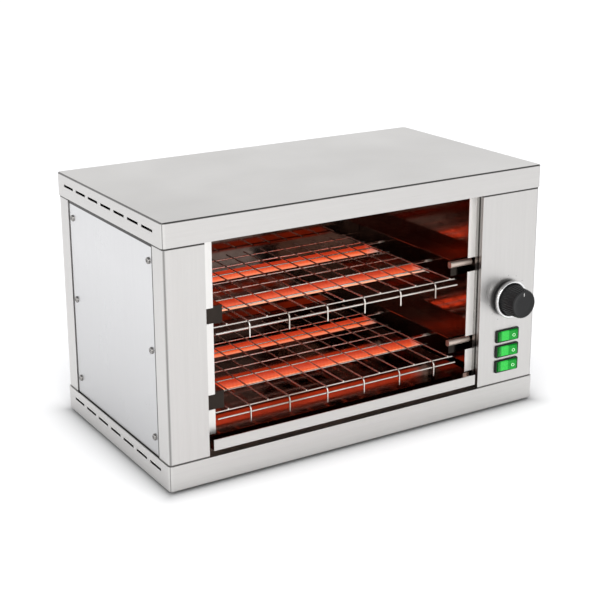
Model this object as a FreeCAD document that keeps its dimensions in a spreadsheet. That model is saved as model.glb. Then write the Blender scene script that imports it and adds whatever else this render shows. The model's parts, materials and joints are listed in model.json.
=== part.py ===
import FreeCAD, Part
import os
import re
import Sketcher

Vector = FreeCAD.Vector
Rotation = FreeCAD.Rotation

# Driving sizes in millimetres and degrees. Each has a name, a value and what it measures.
SIZE_ROWS = [
    ("body_width", 450, "width of the housing"),
    ("body_depth", 250, "depth of the housing without knob and gland"),
    ("body_height", 267, "height of the housing above the feet"),
    ("foot_height", 3, "height of a rubber foot"),
    ("foot_radius", 11, "radius of a foot where it meets the base"),
    ("foot_inset", 34, "distance of a foot centre from the side and the front"),
    ("sheet", 1.0, "thickness of the steel sheet"),
    ("bend_radius", 4, "outer radius of the upright bends of cover and base"),
    ("edge_radius", 1.6, "outer radius of the level bends of cover and base"),
    ("upright_radius", 3.4, "outer radius of the bends of posts and back panel"),
    ("top_band", 24.5, "height of the cover's skirt"),
    ("base_band", 26.5, "height of the base tray's wall"),
    ("lap", 3.5, "how far the side sheets reach behind a band"),
    ("post_face", 43.9, "width of the left front post"),
    ("panel_face", 77.3, "width of the control panel"),
    ("strip_depth", 24.5, "depth of the side returns of posts and back panel"),
    ("flange_depth", 15, "depth of the hidden flange that carries a side panel"),
    ("panel_set", 2.0, "how far a side panel lies inside the bands"),
    ("panel_gap", 1.5, "shadow gap round a side panel"),
    ("side_screw_inset", 34, "distance of the side screws from front and back"),
    ("side_screw_margin", 19, "distance of the outer side screws from the bands"),
    ("screw_head_radius", 3.4, "radius of a pan head"),
    ("screw_head_height", 2.0, "height of a pan head"),
    ("screw_radius", 1.5, "radius of a screw's shank"),
    ("screw_length", 5.0, "length of a screw's shank"),
    ("screw_clearance", 0.15, "radial room round a shank"),
    ("slot_count", 7, "ventilation slots on one side of a band"),
    ("slot_length", 24, "length of a ventilation slot"),
    ("slot_height", 2.6, "height of a ventilation slot"),
    ("slot_inset", 19, "distance of the first slot from the front"),
    ("top_slot_drop", 11.5, "top slots below the top of the cover"),
    ("base_slot_rise", 17.0, "base slots above the underside of the base"),
    ("mouth_set", 12, "how far the cavity's lips lie behind the front"),
    ("wall_over", 3.4, "reach of the cavity's wall behind the control panel"),
    ("lip_width", 12.9, "width of a lip beside the mouth"),
    ("lip_rise", 44.5, "lower end of the lips above the underside of the base"),
    ("back_set", 15, "cavity back wall in front of the housing's back"),
    ("ceiling_drop", 26, "cavity ceiling below the top"),
    ("lower_plane_rise", 62.8, "lower deck plane above the underside of the base"),
    ("deck_pitch", 88, "distance from the lower deck to the upper deck"),
    ("wire", 1.6, "diameter of the rack wire"),
    ("front_wire", 2.0, "diameter of the wire across the rack's front"),
    ("long_wire_count", 13, "wires of a rack that run front to back"),
    ("rack_side_gap", 31.1, "gap from a rack's outer long wires to the cavity's wall"),
    ("cross_wire_count", 7, "evenly spaced cross wires of a rack"),
    ("cross_wire_pitch", 25, "spacing of the cross wires"),
    ("cross_wire_start", 66, "first evenly spaced cross wire behind the front"),
    ("left_overhang", 14, "cross wire beyond the outer long wire at the left"),
    ("right_overhang", 7, "cross wire beyond the outer long wire at the right"),
    ("rack_front", 14, "rack's hanging front behind the housing's front"),
    ("rack_back", 226, "rear end of a rack behind the housing's front"),
    ("leg_bend", 5, "bend radius of a long wire that turns down"),
    ("leg_drop", 15.5, "how far the turned ends reach below the deck plane"),
    ("guard_drop", 6, "front wire below the deck plane"),
    ("slide_gap", 0.3, "room between a sliding piece and what carries it"),
    ("rail_width", 28, "width of a side rail"),
    ("rail_start", 22, "front end of a rail behind the housing's front"),
    ("rail_back_gap", 2, "gap from a rail to the cavity's back wall"),
    ("rail_rise", 20.5, "top of a rail above the deck plane"),
    ("rack_room", 2.4, "height of the rail's front opening above the deck plane"),
    ("nose_radius", 3.5, "radius of a rail's round nose"),
    ("nose_rise", 16.2, "nose axis above the deck plane"),
    ("nose_length", 28.3, "length of a nose"),
    ("nose_gap", 4.0, "gap from the nose to the liner's wall"),
    ("notch_rise", 7.2, "lower end of a lip's notch above the deck plane"),
    ("notch_height", 15.4, "height of a lip's notch"),
    ("tube_radius", 5.25, "outer radius of a quartz tube"),
    ("tube_wall", 1.0, "wall of a quartz tube"),
    ("tube_drop", 8.5, "tube axis below the deck plane"),
    ("top_tube_drop", 12, "top tube axis below the ceiling"),
    ("front_tube_place", 93.5, "front tube behind the housing's front"),
    ("rear_tube_place", 185, "rear tube behind the housing's front"),
    ("tube_overhang", 8, "tube beyond the liner's outer face"),
    ("coil_radius", 3.3, "outer radius of a heating coil"),
    ("coil_inset", 20, "unheated length from the liner's wall to the coil"),
    ("lead_radius", 0.8, "radius of a coil's straight lead"),
    ("cap_radius", 6.8, "outer radius of a ceramic tube end"),
    ("cap_reach", 5, "ceramic end inside the cavity"),
    ("cap_end", 4, "closed end of a ceramic end"),
    ("fit_gap", 0.1, "room round a piece that is pushed in"),
    ("shield_rise", 35, "top of the floor shield above the underside of the base"),
    ("tray_sheet", 0.8, "thickness of the crumb tray's sheet"),
    ("tray_side_gap", 6, "gap from the tray's pan to the liner's wall"),
    ("tray_rim_rise", 43.4, "rim of the tray above the underside of the base"),
    ("tray_back_gap", 7, "gap from the tray to the cavity's back wall"),
    ("bar_low_rise", 32.4, "underside of the tray's front bar above the base's underside"),
    ("bar_height", 11.2, "height of the tray's front bar"),
    ("bar_side_gap", 4.5, "gap beside the tray's front bar"),
    ("bar_back_gap", 0.3, "gap from the front bar to the lips"),
    ("knob_inset", 39.4, "knob axis from the housing's right side"),
    ("knob_rise", 123.7, "knob axis above the underside of the base"),
    ("knob_reach", 26, "knob face in front of the housing"),
    ("knob_gap", 0.8, "gap from the knob's skirt to the panel"),
    ("skirt_height", 3.2, "thickness of the knob's skirt"),
    ("skirt_radius", 19.3, "radius of the knob's skirt"),
    ("knob_base_radius", 17.0, "radius of the grip at the skirt"),
    ("knob_face_radius", 15.8, "radius of the grip at its face"),
    ("rib_count", 30, "ribs round the grip"),
    ("rib_depth", 0.7, "depth of the grooves between the ribs"),
    ("ring_radius", 21, "outer radius of the knob's bright ring"),
    ("ring_height", 4.4, "height of the bright ring"),
    ("ring_gap", 0.25, "room between ring and grip"),
    ("ring_chamfer", 0.8, "chamfer of the bright ring"),
    ("recess_radius", 10, "radius of the recess under the knob"),
    ("shaft_radius", 3.0, "radius of the timer's shaft"),
    ("shaft_clearance", 0.05, "radial running clearance of the shaft"),
    ("shaft_in_timer", 9.5, "shaft inside the timer"),
    ("shaft_in_knob", 16, "shaft inside the grip"),
    ("timer_width", 44, "width of the timer's case"),
    ("timer_depth", 32, "depth of the timer's case"),
    ("bushing_radius", 4.7, "radius of the timer's threaded neck"),
    ("bushing_reach", 2.6, "neck in front of the panel"),
    ("nut_radius", 8, "corner radius of the timer's nut"),
    ("nut_height", 2.0, "thickness of the timer's nut"),
    ("switch_inset", 38.6, "switch centres from the housing's right side"),
    ("switch_low_rise", 46.5, "lowest switch centre above the base's underside"),
    ("switch_pitch", 17.4, "spacing of the switches"),
    ("bezel_length", 31.6, "length of a switch's bezel"),
    ("bezel_height", 14.3, "height of a switch's bezel"),
    ("bezel_thickness", 2.2, "thickness of a switch's bezel"),
    ("neck_length", 28.2, "length of a switch's body behind the panel"),
    ("neck_height", 12.4, "height of a switch's body behind the panel"),
    ("neck_depth", 26, "depth of a switch's body behind the panel"),
    ("well_length", 26.8, "length of the well for the rocker"),
    ("well_height", 10.9, "height of the well for the rocker"),
    ("well_depth", 12, "depth of the well behind the panel's face"),
    ("rocker_height", 10.3, "height of a rocker"),
    ("rocker_throw", 14, "angle from one switch position to the other"),
    ("rocker_half", 11.9, "half length of a rocker's face"),
    ("rocker_root_half", 12.3, "half length of a rocker at its root"),
    ("rocker_face", 7.0, "rocker's pressed face in front of its pivot"),
    ("rocker_root", 2.5, "rocker's root behind its pivot"),
    ("pivot_depth", 4.0, "rocker's pivot behind the panel's face"),
    ("gland_inset", 40, "cable gland from the housing's right side"),
    ("gland_rise", 42, "cable gland above the underside of the base"),
    ("gland_reach", 21, "cable gland behind the housing's back"),
    ("gland_radius", 9, "radius of the gland's dome nut"),
    ("gland_collar_radius", 10.5, "radius of the gland's collar"),
    ("gland_collar", 6, "length of the gland's collar"),
    ("gland_thread_radius", 7.6, "radius of the gland's thread"),
    ("gland_thread", 9, "length of thread inside the back panel"),
    ("gland_bore", 4.5, "radius of the gland's bore"),
    ("locknut_radius", 11, "corner radius of the gland's lock nut"),
    ("locknut_height", 4, "thickness of the gland's lock nut"),
    ("terminal_length", 34, "length of the terminal block"),
    ("terminal_width", 22, "width of the terminal block"),
    ("terminal_height", 18, "height of the terminal block"),
    ("terminal_back_gap", 30, "terminal block from the back panel"),
    ("vent_count", 9, "slots of one field in the back panel"),
    ("vent_length", 70, "length of a slot in the back panel"),
    ("vent_height", 3, "height of a slot in the back panel"),
    ("vent_pitch", 9, "spacing of the slots in the back panel"),
    ("vent_top_drop", 48, "highest slot of the back panel below the top"),
    ("vent_place", 88, "centre of a slot field from the middle of the back"),
    ("floor_vent_count", 6, "slots of one field in the base's floor"),
    ("floor_vent_length", 60, "length of a slot in the base's floor"),
    ("floor_vent_width", 4, "width of a slot in the base's floor"),
    ("floor_vent_pitch", 14, "spacing of the slots in the base's floor"),
    ("floor_vent_place", 80, "centre of a slot field from the middle of the floor"),
]
SIZES = {name: value for name, value, note in SIZE_ROWS}

# Places worked out from the sizes: x from left to right, y from front to back, z up.
PLACES = {
    "left_x": "-body_width / 2",
    "right_x": "body_width / 2",
    "front_y": "(knob_reach - body_depth - gland_reach) / 2",
    "back_y": "front_y + body_depth",
    "base_z": "foot_height",
    "top_z": "foot_height + body_height",
    "band_top_z": "base_z + base_band",
    "band_low_z": "top_z - top_band",
    "floor_z": "base_z + sheet",
    "roof_z": "top_z - sheet",
    "fold_room": "edge_radius - sheet + fit_gap",
    "side_low_z": "band_top_z - lap",
    "side_high_z": "band_low_z + lap",
    "skin_left": "left_x + sheet",
    "skin_right": "right_x - sheet",
    "face_y": "front_y + sheet",
    "rear_y": "back_y - sheet",
    "panel_back_left": "left_x + panel_set + sheet",
    "panel_back_right": "right_x - panel_set - sheet",
    "return_y": "front_y + strip_depth",
    "flange_y": "return_y + flange_depth",
    "rear_return_y": "back_y - strip_depth",
    "rear_flange_y": "rear_return_y - flange_depth",
    "post_right": "left_x + post_face",
    "panel_left": "right_x - panel_face",
    "mouth_y": "front_y + mouth_set",
    "wall_left": "post_right",
    "mouth_left": "wall_left + lip_width",
    "wall_right": "panel_left + wall_over",
    "mouth_right": "wall_right - lip_width",
    "cavity_x": "(wall_left + wall_right) / 2",
    "cavity_back": "back_y - back_set",
    "ceiling_z": "top_z - ceiling_drop",
    "lip_low_z": "base_z + lip_rise",
    "lower_plane": "base_z + lower_plane_rise",
    "upper_plane": "lower_plane + deck_pitch",
    "rack_half": "(wall_right - wall_left) / 2 - rack_side_gap",
    "long_wire_pitch": "2 * rack_half / (long_wire_count - 1)",
    "rack_y": "front_y + rack_front",
    "rail_y": "front_y + rail_start",
    "shield_z": "base_z + shield_rise",
    "bar_low_z": "base_z + bar_low_rise",
    "bar_top_z": "bar_low_z + bar_height",
    "bar_back_y": "mouth_y - bar_back_gap",
    "tray_floor_z": "shield_z + slide_gap",
    "tray_rim_z": "base_z + tray_rim_rise",
    "knob_x": "right_x - knob_inset",
    "knob_z": "base_z + knob_rise",
    "switch_x": "right_x - switch_inset",
    "gland_x": "right_x - gland_inset",
    "gland_z": "base_z + gland_rise",
}

doc = FreeCAD.newDocument("Toaster")
nodes = []


def formula(text):
    """Return a formula in which each named size or place is a reference to its cell."""
    def cell(match):
        word = match.group(0)
        if word in SIZES:
            return "Sizes." + word
        if word in PLACES:
            return "Places." + word
        return word
    return re.sub(r"[a-z_]\w*", cell, str(text))


def make_sheets():
    """Write the driving sizes and the worked-out places into two spreadsheets."""
    sizes = doc.addObject("Spreadsheet::Sheet", "Sizes")
    for row, (name, value, note) in enumerate(SIZE_ROWS, start=1):
        sizes.set("A%d" % row, name)
        sizes.set("B%d" % row, str(value))
        sizes.set("C%d" % row, note)
        sizes.setAlias("B%d" % row, name)
    doc.recompute()
    places = doc.addObject("Spreadsheet::Sheet", "Places")
    for row, name in enumerate(PLACES, start=1):
        places.set("A%d" % row, name)
        places.setAlias("B%d" % row, name)
    for row, text in enumerate(PLACES.values(), start=1):
        places.set("B%d" % row, "=" + formula(text).replace("Places.", ""))
    doc.recompute()


def place(thing, x=0, y=0, z=0):
    """Bind the position of an object to three formulas."""
    for axis, text in (("x", x), ("y", y), ("z", z)):
        thing.setExpression("Placement.Base." + axis, formula(text))


def block(x, y, z):
    """Return a block between two limits along each axis."""
    box = doc.addObject("Part::Box", "Block")
    place(box, x[0], y[0], z[0])
    for side, span in (("Length", x), ("Width", y), ("Height", z)):
        box.setExpression(side, formula("(%s) - (%s)" % (span[1], span[0])))
    return box


TURNS = {
    "x": Rotation(Vector(0, 1, 0), 90),
    "y": Rotation(Vector(1, 0, 0), -90),
    "z": Rotation(),
}


def on_axis(thing, axis, start, centre):
    """Lay an object that stands along z onto an axis, through a centre, from a start."""
    thing.Placement = FreeCAD.Placement(Vector(), TURNS[axis] * thing.Placement.Rotation)
    spot = {"x": (start, centre[0], centre[1]),
            "y": (centre[0], start, centre[1]),
            "z": (centre[0], centre[1], start)}[axis]
    place(thing, *spot)


def rod(axis, centre, span, radius):
    """Return a cylinder along an axis between two limits."""
    cylinder = doc.addObject("Part::Cylinder", "Rod")
    cylinder.setExpression("Radius", formula(radius))
    cylinder.setExpression("Height", formula("(%s) - (%s)" % (span[1], span[0])))
    on_axis(cylinder, axis, span[0], centre)
    return cylinder


def prism(sides, axis, centre, span, radius):
    """Return a prism along an axis between two limits, with a flat side on top."""
    shape = doc.addObject("Part::Prism", "Prism")
    shape.Polygon = sides
    shape.setExpression("Circumradius", formula(radius))
    shape.setExpression("Height", formula("(%s) - (%s)" % (span[1], span[0])))
    shape.Placement = FreeCAD.Placement(Vector(), Rotation(Vector(0, 0, 1), 180 / sides))
    on_axis(shape, axis, span[0], centre)
    return shape


def bar(axis, centre, span, width):
    """Return an eight-sided bar along an axis, measured across its flats."""
    return prism(8, axis, centre, span, "(%s) / 2 / cos(22.5)" % width)


def together(pieces):
    """Return separate solids as one compound."""
    compound = doc.addObject("Part::Compound", "Set")
    compound.Links = pieces
    return compound


def join(pieces):
    """Return pieces fused into one solid."""
    fused = doc.addObject("Part::MultiFuse", "Join")
    fused.Shapes = pieces
    fused.Refine = True
    return fused


def cut(base, tools):
    """Return a base with tools cut away from it."""
    result = doc.addObject("Part::Cut", "Cut")
    result.Base = base
    result.Tool = tools[0] if len(tools) == 1 else together(tools)
    return result


def node(name, thing):
    """Name an object as one of the kept sub-parts."""
    thing.Label = name
    nodes.append((name, thing))
    return thing


def origin_part(body, role):
    """Return one of a body's own origin planes or axes."""
    return [part for part in body.Origin.OriginFeatures if part.Role == role][0]


def outline(body, plane, points):
    """Return a closed sketch in one of the body's planes, each corner bound to two formulas."""
    sketch = body.newObject("Sketcher::SketchObject", "Outline")
    sketch.AttachmentSupport = [(origin_part(body, plane), "")]
    sketch.MapMode = "FlatFace"
    corners = []
    for u, v in points:
        corners.append(Vector(evaluate(sketch, u), evaluate(sketch, v), 0))
    count = len(corners)
    for index in range(count):
        line = Part.LineSegment(corners[index], corners[(index + 1) % count])
        sketch.addGeometry(line, False)
    for index in range(count):
        sketch.addConstraint(Sketcher.Constraint("Coincident", index, 2, (index + 1) % count, 1))
    for index, (u, v) in enumerate(points):
        bind_corner(sketch, index, 1, corners[index], u, v)
    return sketch


def route(body, plane, points):
    """Return an open sketch of straight runs, each corner bound to two formulas."""
    sketch = body.newObject("Sketcher::SketchObject", "Route")
    sketch.AttachmentSupport = [(origin_part(body, plane), "")]
    sketch.MapMode = "FlatFace"
    corners = [Vector(evaluate(sketch, u), evaluate(sketch, v), 0) for u, v in points]
    for first, last in zip(corners, corners[1:]):
        sketch.addGeometry(Part.LineSegment(first, last), False)
    runs = len(corners) - 1
    for index in range(runs - 1):
        sketch.addConstraint(Sketcher.Constraint("Coincident", index, 2, index + 1, 1))
    for index, (u, v) in enumerate(points):
        line, end = (index, 1) if index < runs else (runs - 1, 2)
        bind_corner(sketch, line, end, corners[index], u, v)
    return sketch


def bind_corner(sketch, line, end, corner, u, v):
    """Bind one end of a sketch's line to two formulas, measured from the sketch's origin."""
    for kind, value, text in (("DistanceX", corner.x, u), ("DistanceY", corner.y, v)):
        number = sketch.addConstraint(Sketcher.Constraint(kind, -1, 1, line, end, value))
        sketch.setExpression("Constraints[%d]" % number, formula(text))


def evaluate(thing, text):
    """Return the number that a formula gives now."""
    return float(thing.evalExpression(formula(text)))


def upright_edges(shape, normal, spots):
    """Return the names of edges along a direction that pass through given points."""
    names = []
    for index, edge in enumerate(shape.Edges, start=1):
        first, last = edge.Vertexes[0].Point, edge.Vertexes[-1].Point
        run = last - first
        if run.Length < 1e-6 or abs(abs(run.normalize().dot(normal)) - 1) > 1e-6:
            continue
        for spot in spots:
            if (first - spot).cross(normal).Length < 1e-5:
                names.append("Edge%d" % index)
    return names


PLANE_AXES = {
    "XY_Plane": (Vector(1, 0, 0), Vector(0, 1, 0), Vector(0, 0, 1)),
    "XZ_Plane": (Vector(1, 0, 0), Vector(0, 0, 1), Vector(0, 1, 0)),
    "YZ_Plane": (Vector(0, 1, 0), Vector(0, 0, 1), Vector(1, 0, 0)),
}


def profile(plane, points, span, rounds=()):
    """Return a body with an outline padded between two limits along the plane's normal.

    Each entry of rounds gives a corner's number and the radius of its bend.
    """
    body = doc.addObject("PartDesign::Body", "Profile")
    sketch = outline(body, plane, points)
    pad = body.newObject("PartDesign::Pad", "Pad")
    pad.Profile = sketch
    pad.setExpression("Length", formula("(%s) - (%s)" % (span[1], span[0])))
    pad.Reversed = plane == "XZ_Plane"
    across, along, normal = PLANE_AXES[plane]
    last = pad
    for radius in sorted(set(radius for corner, radius in rounds)):
        doc.recompute()
        spots = []
        for corner, bend in rounds:
            if bend == radius:
                u, v = points[corner]
                spots.append(across * evaluate(pad, u) + along * evaluate(pad, v))
        bends = body.newObject("PartDesign::Fillet", "Bends")
        bends.Base = (last, upright_edges(last.Shape, normal, spots))
        bends.setExpression("Radius", formula(radius))
        last = bends
    start = {"XY_Plane": (0, 0, span[0]), "XZ_Plane": (0, span[0], 0),
             "YZ_Plane": (span[0], 0, 0)}[plane]
    place(body, *start)
    return body


def shell(z, open_top):
    """Return a folded tray of the housing's plan with rounded bends, open on one side."""
    corners = [("left_x", "front_y"), ("right_x", "front_y"),
               ("right_x", "back_y"), ("left_x", "back_y")]
    body = profile("XY_Plane", corners, z, [(index, "bend_radius") for index in range(4)])
    doc.recompute()
    solid = body.Tip
    closed_z = 0 if open_top else solid.Shape.BoundBox.ZMax
    rim = []
    for index, edge in enumerate(solid.Shape.Edges, start=1):
        if abs(edge.BoundBox.ZMin - closed_z) < 1e-6 and abs(edge.BoundBox.ZMax - closed_z) < 1e-6:
            rim.append("Edge%d" % index)
    fold = body.newObject("PartDesign::Fillet", "Fold")
    fold.Base = (solid, rim)
    fold.setExpression("Radius", formula("edge_radius"))
    doc.recompute()
    open_z = solid.Shape.BoundBox.ZMax if open_top else 0
    faces = []
    for index, face in enumerate(fold.Shape.Faces, start=1):
        box = face.BoundBox
        if abs(box.ZMin - open_z) < 1e-6 and abs(box.ZMax - open_z) < 1e-6:
            faces.append("Face%d" % index)
    hollow = body.newObject("PartDesign::Thickness", "Hollow")
    hollow.Base = (fold, faces)
    hollow.setExpression("Value", formula("sheet"))
    hollow.Reversed = True
    return body


def band_slots(height):
    """Return the ventilation slots of one band, cut from side to side."""
    slots = []
    low = "(%s) - slot_height / 2" % height
    high = "(%s) + slot_height / 2" % height
    step = "(body_depth - 2 * slot_inset - slot_length) / (slot_count - 1)"
    for x in (("left_x - sheet", "left_x + 2 * sheet"), ("right_x - 2 * sheet", "right_x + sheet")):
        for index in range(int(SIZES["slot_count"])):
            start = "front_y + slot_inset + %d * %s" % (index, step)
            slots.append(block(x, (start, start + " + slot_length"), (low, high)))
    return slots


def make_top_cover():
    """Top cover: a folded lid with a skirt, side slots and a return over the mouth."""
    lid = cut(shell(("band_low_z", "top_z"), False), band_slots("top_z - top_slot_drop"))
    header = block(("post_right", "panel_left"), ("face_y", "mouth_y"),
                   ("band_low_z", "band_low_z + sheet"))
    node("top_cover", join([lid, header]))


def make_base_tray():
    """Base tray: the folded bottom with side slots, floor slots and a sill under the mouth."""
    vents = []
    for side in ("-", "+"):
        centre = "%sfloor_vent_place" % side
        for index in range(int(SIZES["floor_vent_count"])):
            middle = "%s + (%d - (floor_vent_count - 1) / 2) * floor_vent_pitch" % (
                "(front_y + back_y) / 2", index)
            vents.append(block(
                ("%s - floor_vent_length / 2" % centre, "%s + floor_vent_length / 2" % centre),
                (middle + " - floor_vent_width / 2", middle + " + floor_vent_width / 2"),
                ("base_z - sheet", "base_z + 2 * sheet")))
    slots = band_slots("base_z + base_slot_rise")
    pan = cut(shell(("base_z", "band_top_z"), True), slots + vents)
    sill = block(("wall_left", "panel_left"), ("face_y", "mouth_y + 2 * sheet"),
                 ("band_top_z - sheet", "band_top_z"))
    node("base_tray", join([pan, sill]))


def make_rubber_feet():
    """Four tapered rubber feet."""
    feet = []
    for x in ("left_x + foot_inset", "right_x - foot_inset"):
        for y in ("front_y + foot_inset", "back_y - foot_inset"):
            foot = doc.addObject("Part::Cone", "Foot")
            foot.setExpression("Radius1", formula("foot_radius * 0.86"))
            foot.setExpression("Radius2", formula("foot_radius"))
            foot.setExpression("Height", formula("foot_height"))
            place(foot, x, y, 0)
            feet.append(foot)
    node("rubber_feet", together(feet))


def upright(inner_x, outer_x, panel_x, inward):
    """Return a front upright: a face with a mouth return, a side return and a stepped flange."""
    outward = "-" if inward == "+" else "+"
    skin = "%s %s sheet" % (outer_x, inward)
    seat = "%s %s sheet" % (panel_x, inward)
    fold = "%s %s sheet" % (inner_x, outward)
    points = [
        (inner_x, "mouth_y"), (inner_x, "face_y"), (outer_x, "face_y"), (outer_x, "return_y"),
        (panel_x, "return_y"), (panel_x, "flange_y"), (seat, "flange_y"),
        (seat, "return_y - sheet"), (skin, "return_y - sheet"), (skin, "face_y + sheet"),
        (fold, "face_y + sheet"), (fold, "mouth_y"),
    ]
    return profile("XY_Plane", points, ("floor_z + fold_room", "roof_z - fold_room"),
                   [(2, "upright_radius"), (9, "upright_radius - sheet")])


def side_reliefs(outer_x, inward, y):
    """Return the cuts that end the side returns a little way behind the bands."""
    outward = "-" if inward == "+" else "+"
    edges = ["%s %s sheet" % (outer_x, outward),
             "%s %s (panel_set + 2 * sheet)" % (outer_x, inward)]
    x = tuple(edges if inward == "+" else reversed(edges))
    return [block(x, y, ("floor_z - sheet", "side_low_z")),
            block(x, y, ("side_high_z", "roof_z + sheet"))]


def side_screw_spots():
    """Return the y and z of the six screws of a side panel."""
    spots = []
    for y in ("front_y + side_screw_inset", "back_y - side_screw_inset"):
        for z in ("band_top_z + side_screw_margin", "(band_top_z + band_low_z) / 2",
                  "band_low_z - side_screw_margin"):
            spots.append((y, z))
    return spots


def screw_holes(axis, spots, span):
    """Return drills for screws at some spots."""
    return [bar(axis, spot, span, "2 * (screw_radius + screw_clearance)") for spot in spots]


def screws(axis, spots, seat, outward):
    """Return pan-head screws whose heads lie outside a seat, along an axis."""
    group = []
    for spot in spots:
        if outward == "+":
            head = (seat, seat + " + screw_head_height")
            shank = (seat + " - screw_length", seat)
        else:
            head = (seat + " - screw_head_height", seat)
            shank = (seat, seat + " + screw_length")
        group.append(join([prism(12, axis, spot, head, "screw_head_radius"),
                           bar(axis, spot, shank, "2 * screw_radius")]))
    return together(group)


SIDE_LEFT = ("left_x", "left_x + panel_set + 4 * sheet")
SIDE_RIGHT = ("right_x - panel_set - 4 * sheet", "right_x")


def make_left_front_post():
    """Left front post with its return at the mouth and its flange for the side panel."""
    post = upright("post_right", "skin_left", "panel_back_left", "+")
    reliefs = side_reliefs("skin_left", "+", ("front_y + 2 * bend_radius", "flange_y + sheet"))
    holes = screw_holes("x", side_screw_spots()[:3], SIDE_LEFT)
    node("left_front_post", cut(post, reliefs + holes))


def switch_z(index):
    """Return the height of a switch, counted from the lowest."""
    return "base_z + switch_low_rise + %d * switch_pitch" % index


SWITCHES = ["lower", "middle", "upper"]


def make_control_panel():
    """Control panel with the cut-outs for the timer and the three switches."""
    panel = upright("panel_left", "skin_right", "panel_back_right", "-")
    reliefs = side_reliefs("skin_right", "-", ("front_y + 2 * bend_radius", "flange_y + sheet"))
    holes = screw_holes("x", side_screw_spots()[:3], SIDE_RIGHT)
    through = ("front_y", "face_y + 2 * sheet")
    holes.append(rod("y", ("knob_x", "knob_z"), through, "bushing_radius + fit_gap"))
    for index in range(len(SWITCHES)):
        z = switch_z(index)
        half_x = "(neck_length / 2 + fit_gap)"
        half_z = "(neck_height / 2 + fit_gap)"
        holes.append(block(("switch_x - " + half_x, "switch_x + " + half_x), through,
                           ("%s - %s" % (z, half_z), "%s + %s" % (z, half_z))))
    node("control_panel", cut(panel, reliefs + holes))


def back_screw_spots():
    """Return the x and z of the screws that hold the back panel to the liners."""
    spots = []
    for x in ("wall_left - 6 * sheet", "wall_right + 6 * sheet"):
        for z in ("band_top_z + side_screw_margin", "band_low_z - side_screw_margin"):
            spots.append((x, z))
    return spots


def make_back_panel():
    """Back panel that wraps round both sides, with vents and the gland's hole."""
    points = [
        ("panel_back_left", "rear_flange_y"), ("panel_back_left", "rear_return_y"),
        ("skin_left", "rear_return_y"), ("skin_left", "rear_y"),
        ("skin_right", "rear_y"), ("skin_right", "rear_return_y"),
        ("panel_back_right", "rear_return_y"), ("panel_back_right", "rear_flange_y"),
        ("panel_back_right - sheet", "rear_flange_y"),
        ("panel_back_right - sheet", "rear_return_y + sheet"),
        ("skin_right - sheet", "rear_return_y + sheet"), ("skin_right - sheet", "rear_y - sheet"),
        ("skin_left + sheet", "rear_y - sheet"), ("skin_left + sheet", "rear_return_y + sheet"),
        ("panel_back_left + sheet", "rear_return_y + sheet"),
        ("panel_back_left + sheet", "rear_flange_y"),
    ]
    panel = profile("XY_Plane", points, ("floor_z + fold_room", "roof_z - fold_room"),
                    [(3, "upright_radius"), (4, "upright_radius"),
                     (11, "upright_radius - sheet"), (12, "upright_radius - sheet")])
    y = ("rear_flange_y - sheet", "back_y - 2 * bend_radius")
    cuts = side_reliefs("skin_left", "+", y) + side_reliefs("skin_right", "-", y)
    cuts += screw_holes("x", side_screw_spots()[3:], SIDE_LEFT)
    cuts += screw_holes("x", side_screw_spots()[3:], SIDE_RIGHT)
    through = ("rear_y - 2 * sheet", "back_y")
    cuts += screw_holes("y", back_screw_spots(), through)
    cuts.append(rod("y", ("gland_x", "gland_z"), through, "gland_thread_radius + fit_gap"))
    for side in ("-", "+"):
        x = ("%svent_place - vent_length / 2" % side, "%svent_place + vent_length / 2" % side)
        for index in range(int(SIZES["vent_count"])):
            z = "top_z - vent_top_drop - %d * vent_pitch" % index
            cuts.append(block(x, through, (z + " - vent_height / 2", z + " + vent_height / 2")))
    node("back_panel", cut(panel, cuts))


def make_side_panel(name, outer_x, inner_x, spots_span):
    """Flat side panel behind its shadow gap, with six screw holes."""
    sheet_plate = block((outer_x, inner_x),
                        ("return_y + panel_gap", "rear_return_y - panel_gap"),
                        ("side_low_z", "side_high_z"))
    node(name, cut(sheet_plate, screw_holes("x", side_screw_spots(), spots_span)))


def make_housing_screws():
    """Pan-head screws of both side panels and of the back panel."""
    node("left_side_screws", screws("x", side_screw_spots(), "left_x + panel_set", "-"))
    node("right_side_screws", screws("x", side_screw_spots(), "right_x - panel_set", "+"))
    node("back_screws", screws("y", back_screw_spots(), "rear_y", "+"))


DECKS = ["lower", "upper"]


def tube_rows():
    """Return the name, y and z of each quartz tube."""
    rows = []
    levels = (("lower", "lower_plane - tube_drop"), ("middle", "upper_plane - tube_drop"),
              ("top", "ceiling_z - top_tube_drop"))
    for level, z in levels:
        for spot, y in (("front", "front_y + front_tube_place"),
                        ("rear", "front_y + rear_tube_place")):
            rows.append(("%s_%s" % (level, spot), y, z))
    return rows


def make_liner(name, wall_x, lip_x, outward):
    """Cavity side wall with a lip beside the mouth, rail notches and tube holes."""
    back = "%s %s sheet" % (wall_x, outward)
    points = [
        (back, "mouth_y"), (lip_x, "mouth_y"), (lip_x, "mouth_y + sheet"),
        (wall_x, "mouth_y + sheet"), (wall_x, "cavity_back + sheet"),
        (back, "cavity_back + sheet"),
    ]
    wall = profile("XY_Plane", points, ("floor_z", "side_high_z"))
    inward = "-" if outward == "+" else "+"
    edges = [wall_x, "%s %s sheet" % (lip_x, inward)]
    lip = tuple(edges if inward == "+" else reversed(edges))
    through = ("mouth_y - sheet", "mouth_y + 2 * sheet")
    cuts = [block(lip, through, ("floor_z - sheet", "lip_low_z"))]
    for deck in DECKS:
        low = "%s_plane + notch_rise" % deck
        cuts.append(block(lip, through, (low, low + " + notch_height")))
    ends = ["%s %s 2 * sheet" % (wall_x, outward), "%s %s 2 * sheet" % (wall_x, inward)]
    x = tuple(ends if outward == "-" else reversed(ends))
    for tube, y, z in tube_rows():
        cuts.append(bar("x", (y, z), x, "2 * (cap_radius + fit_gap)"))
    node(name, cut(wall, cuts))


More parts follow.
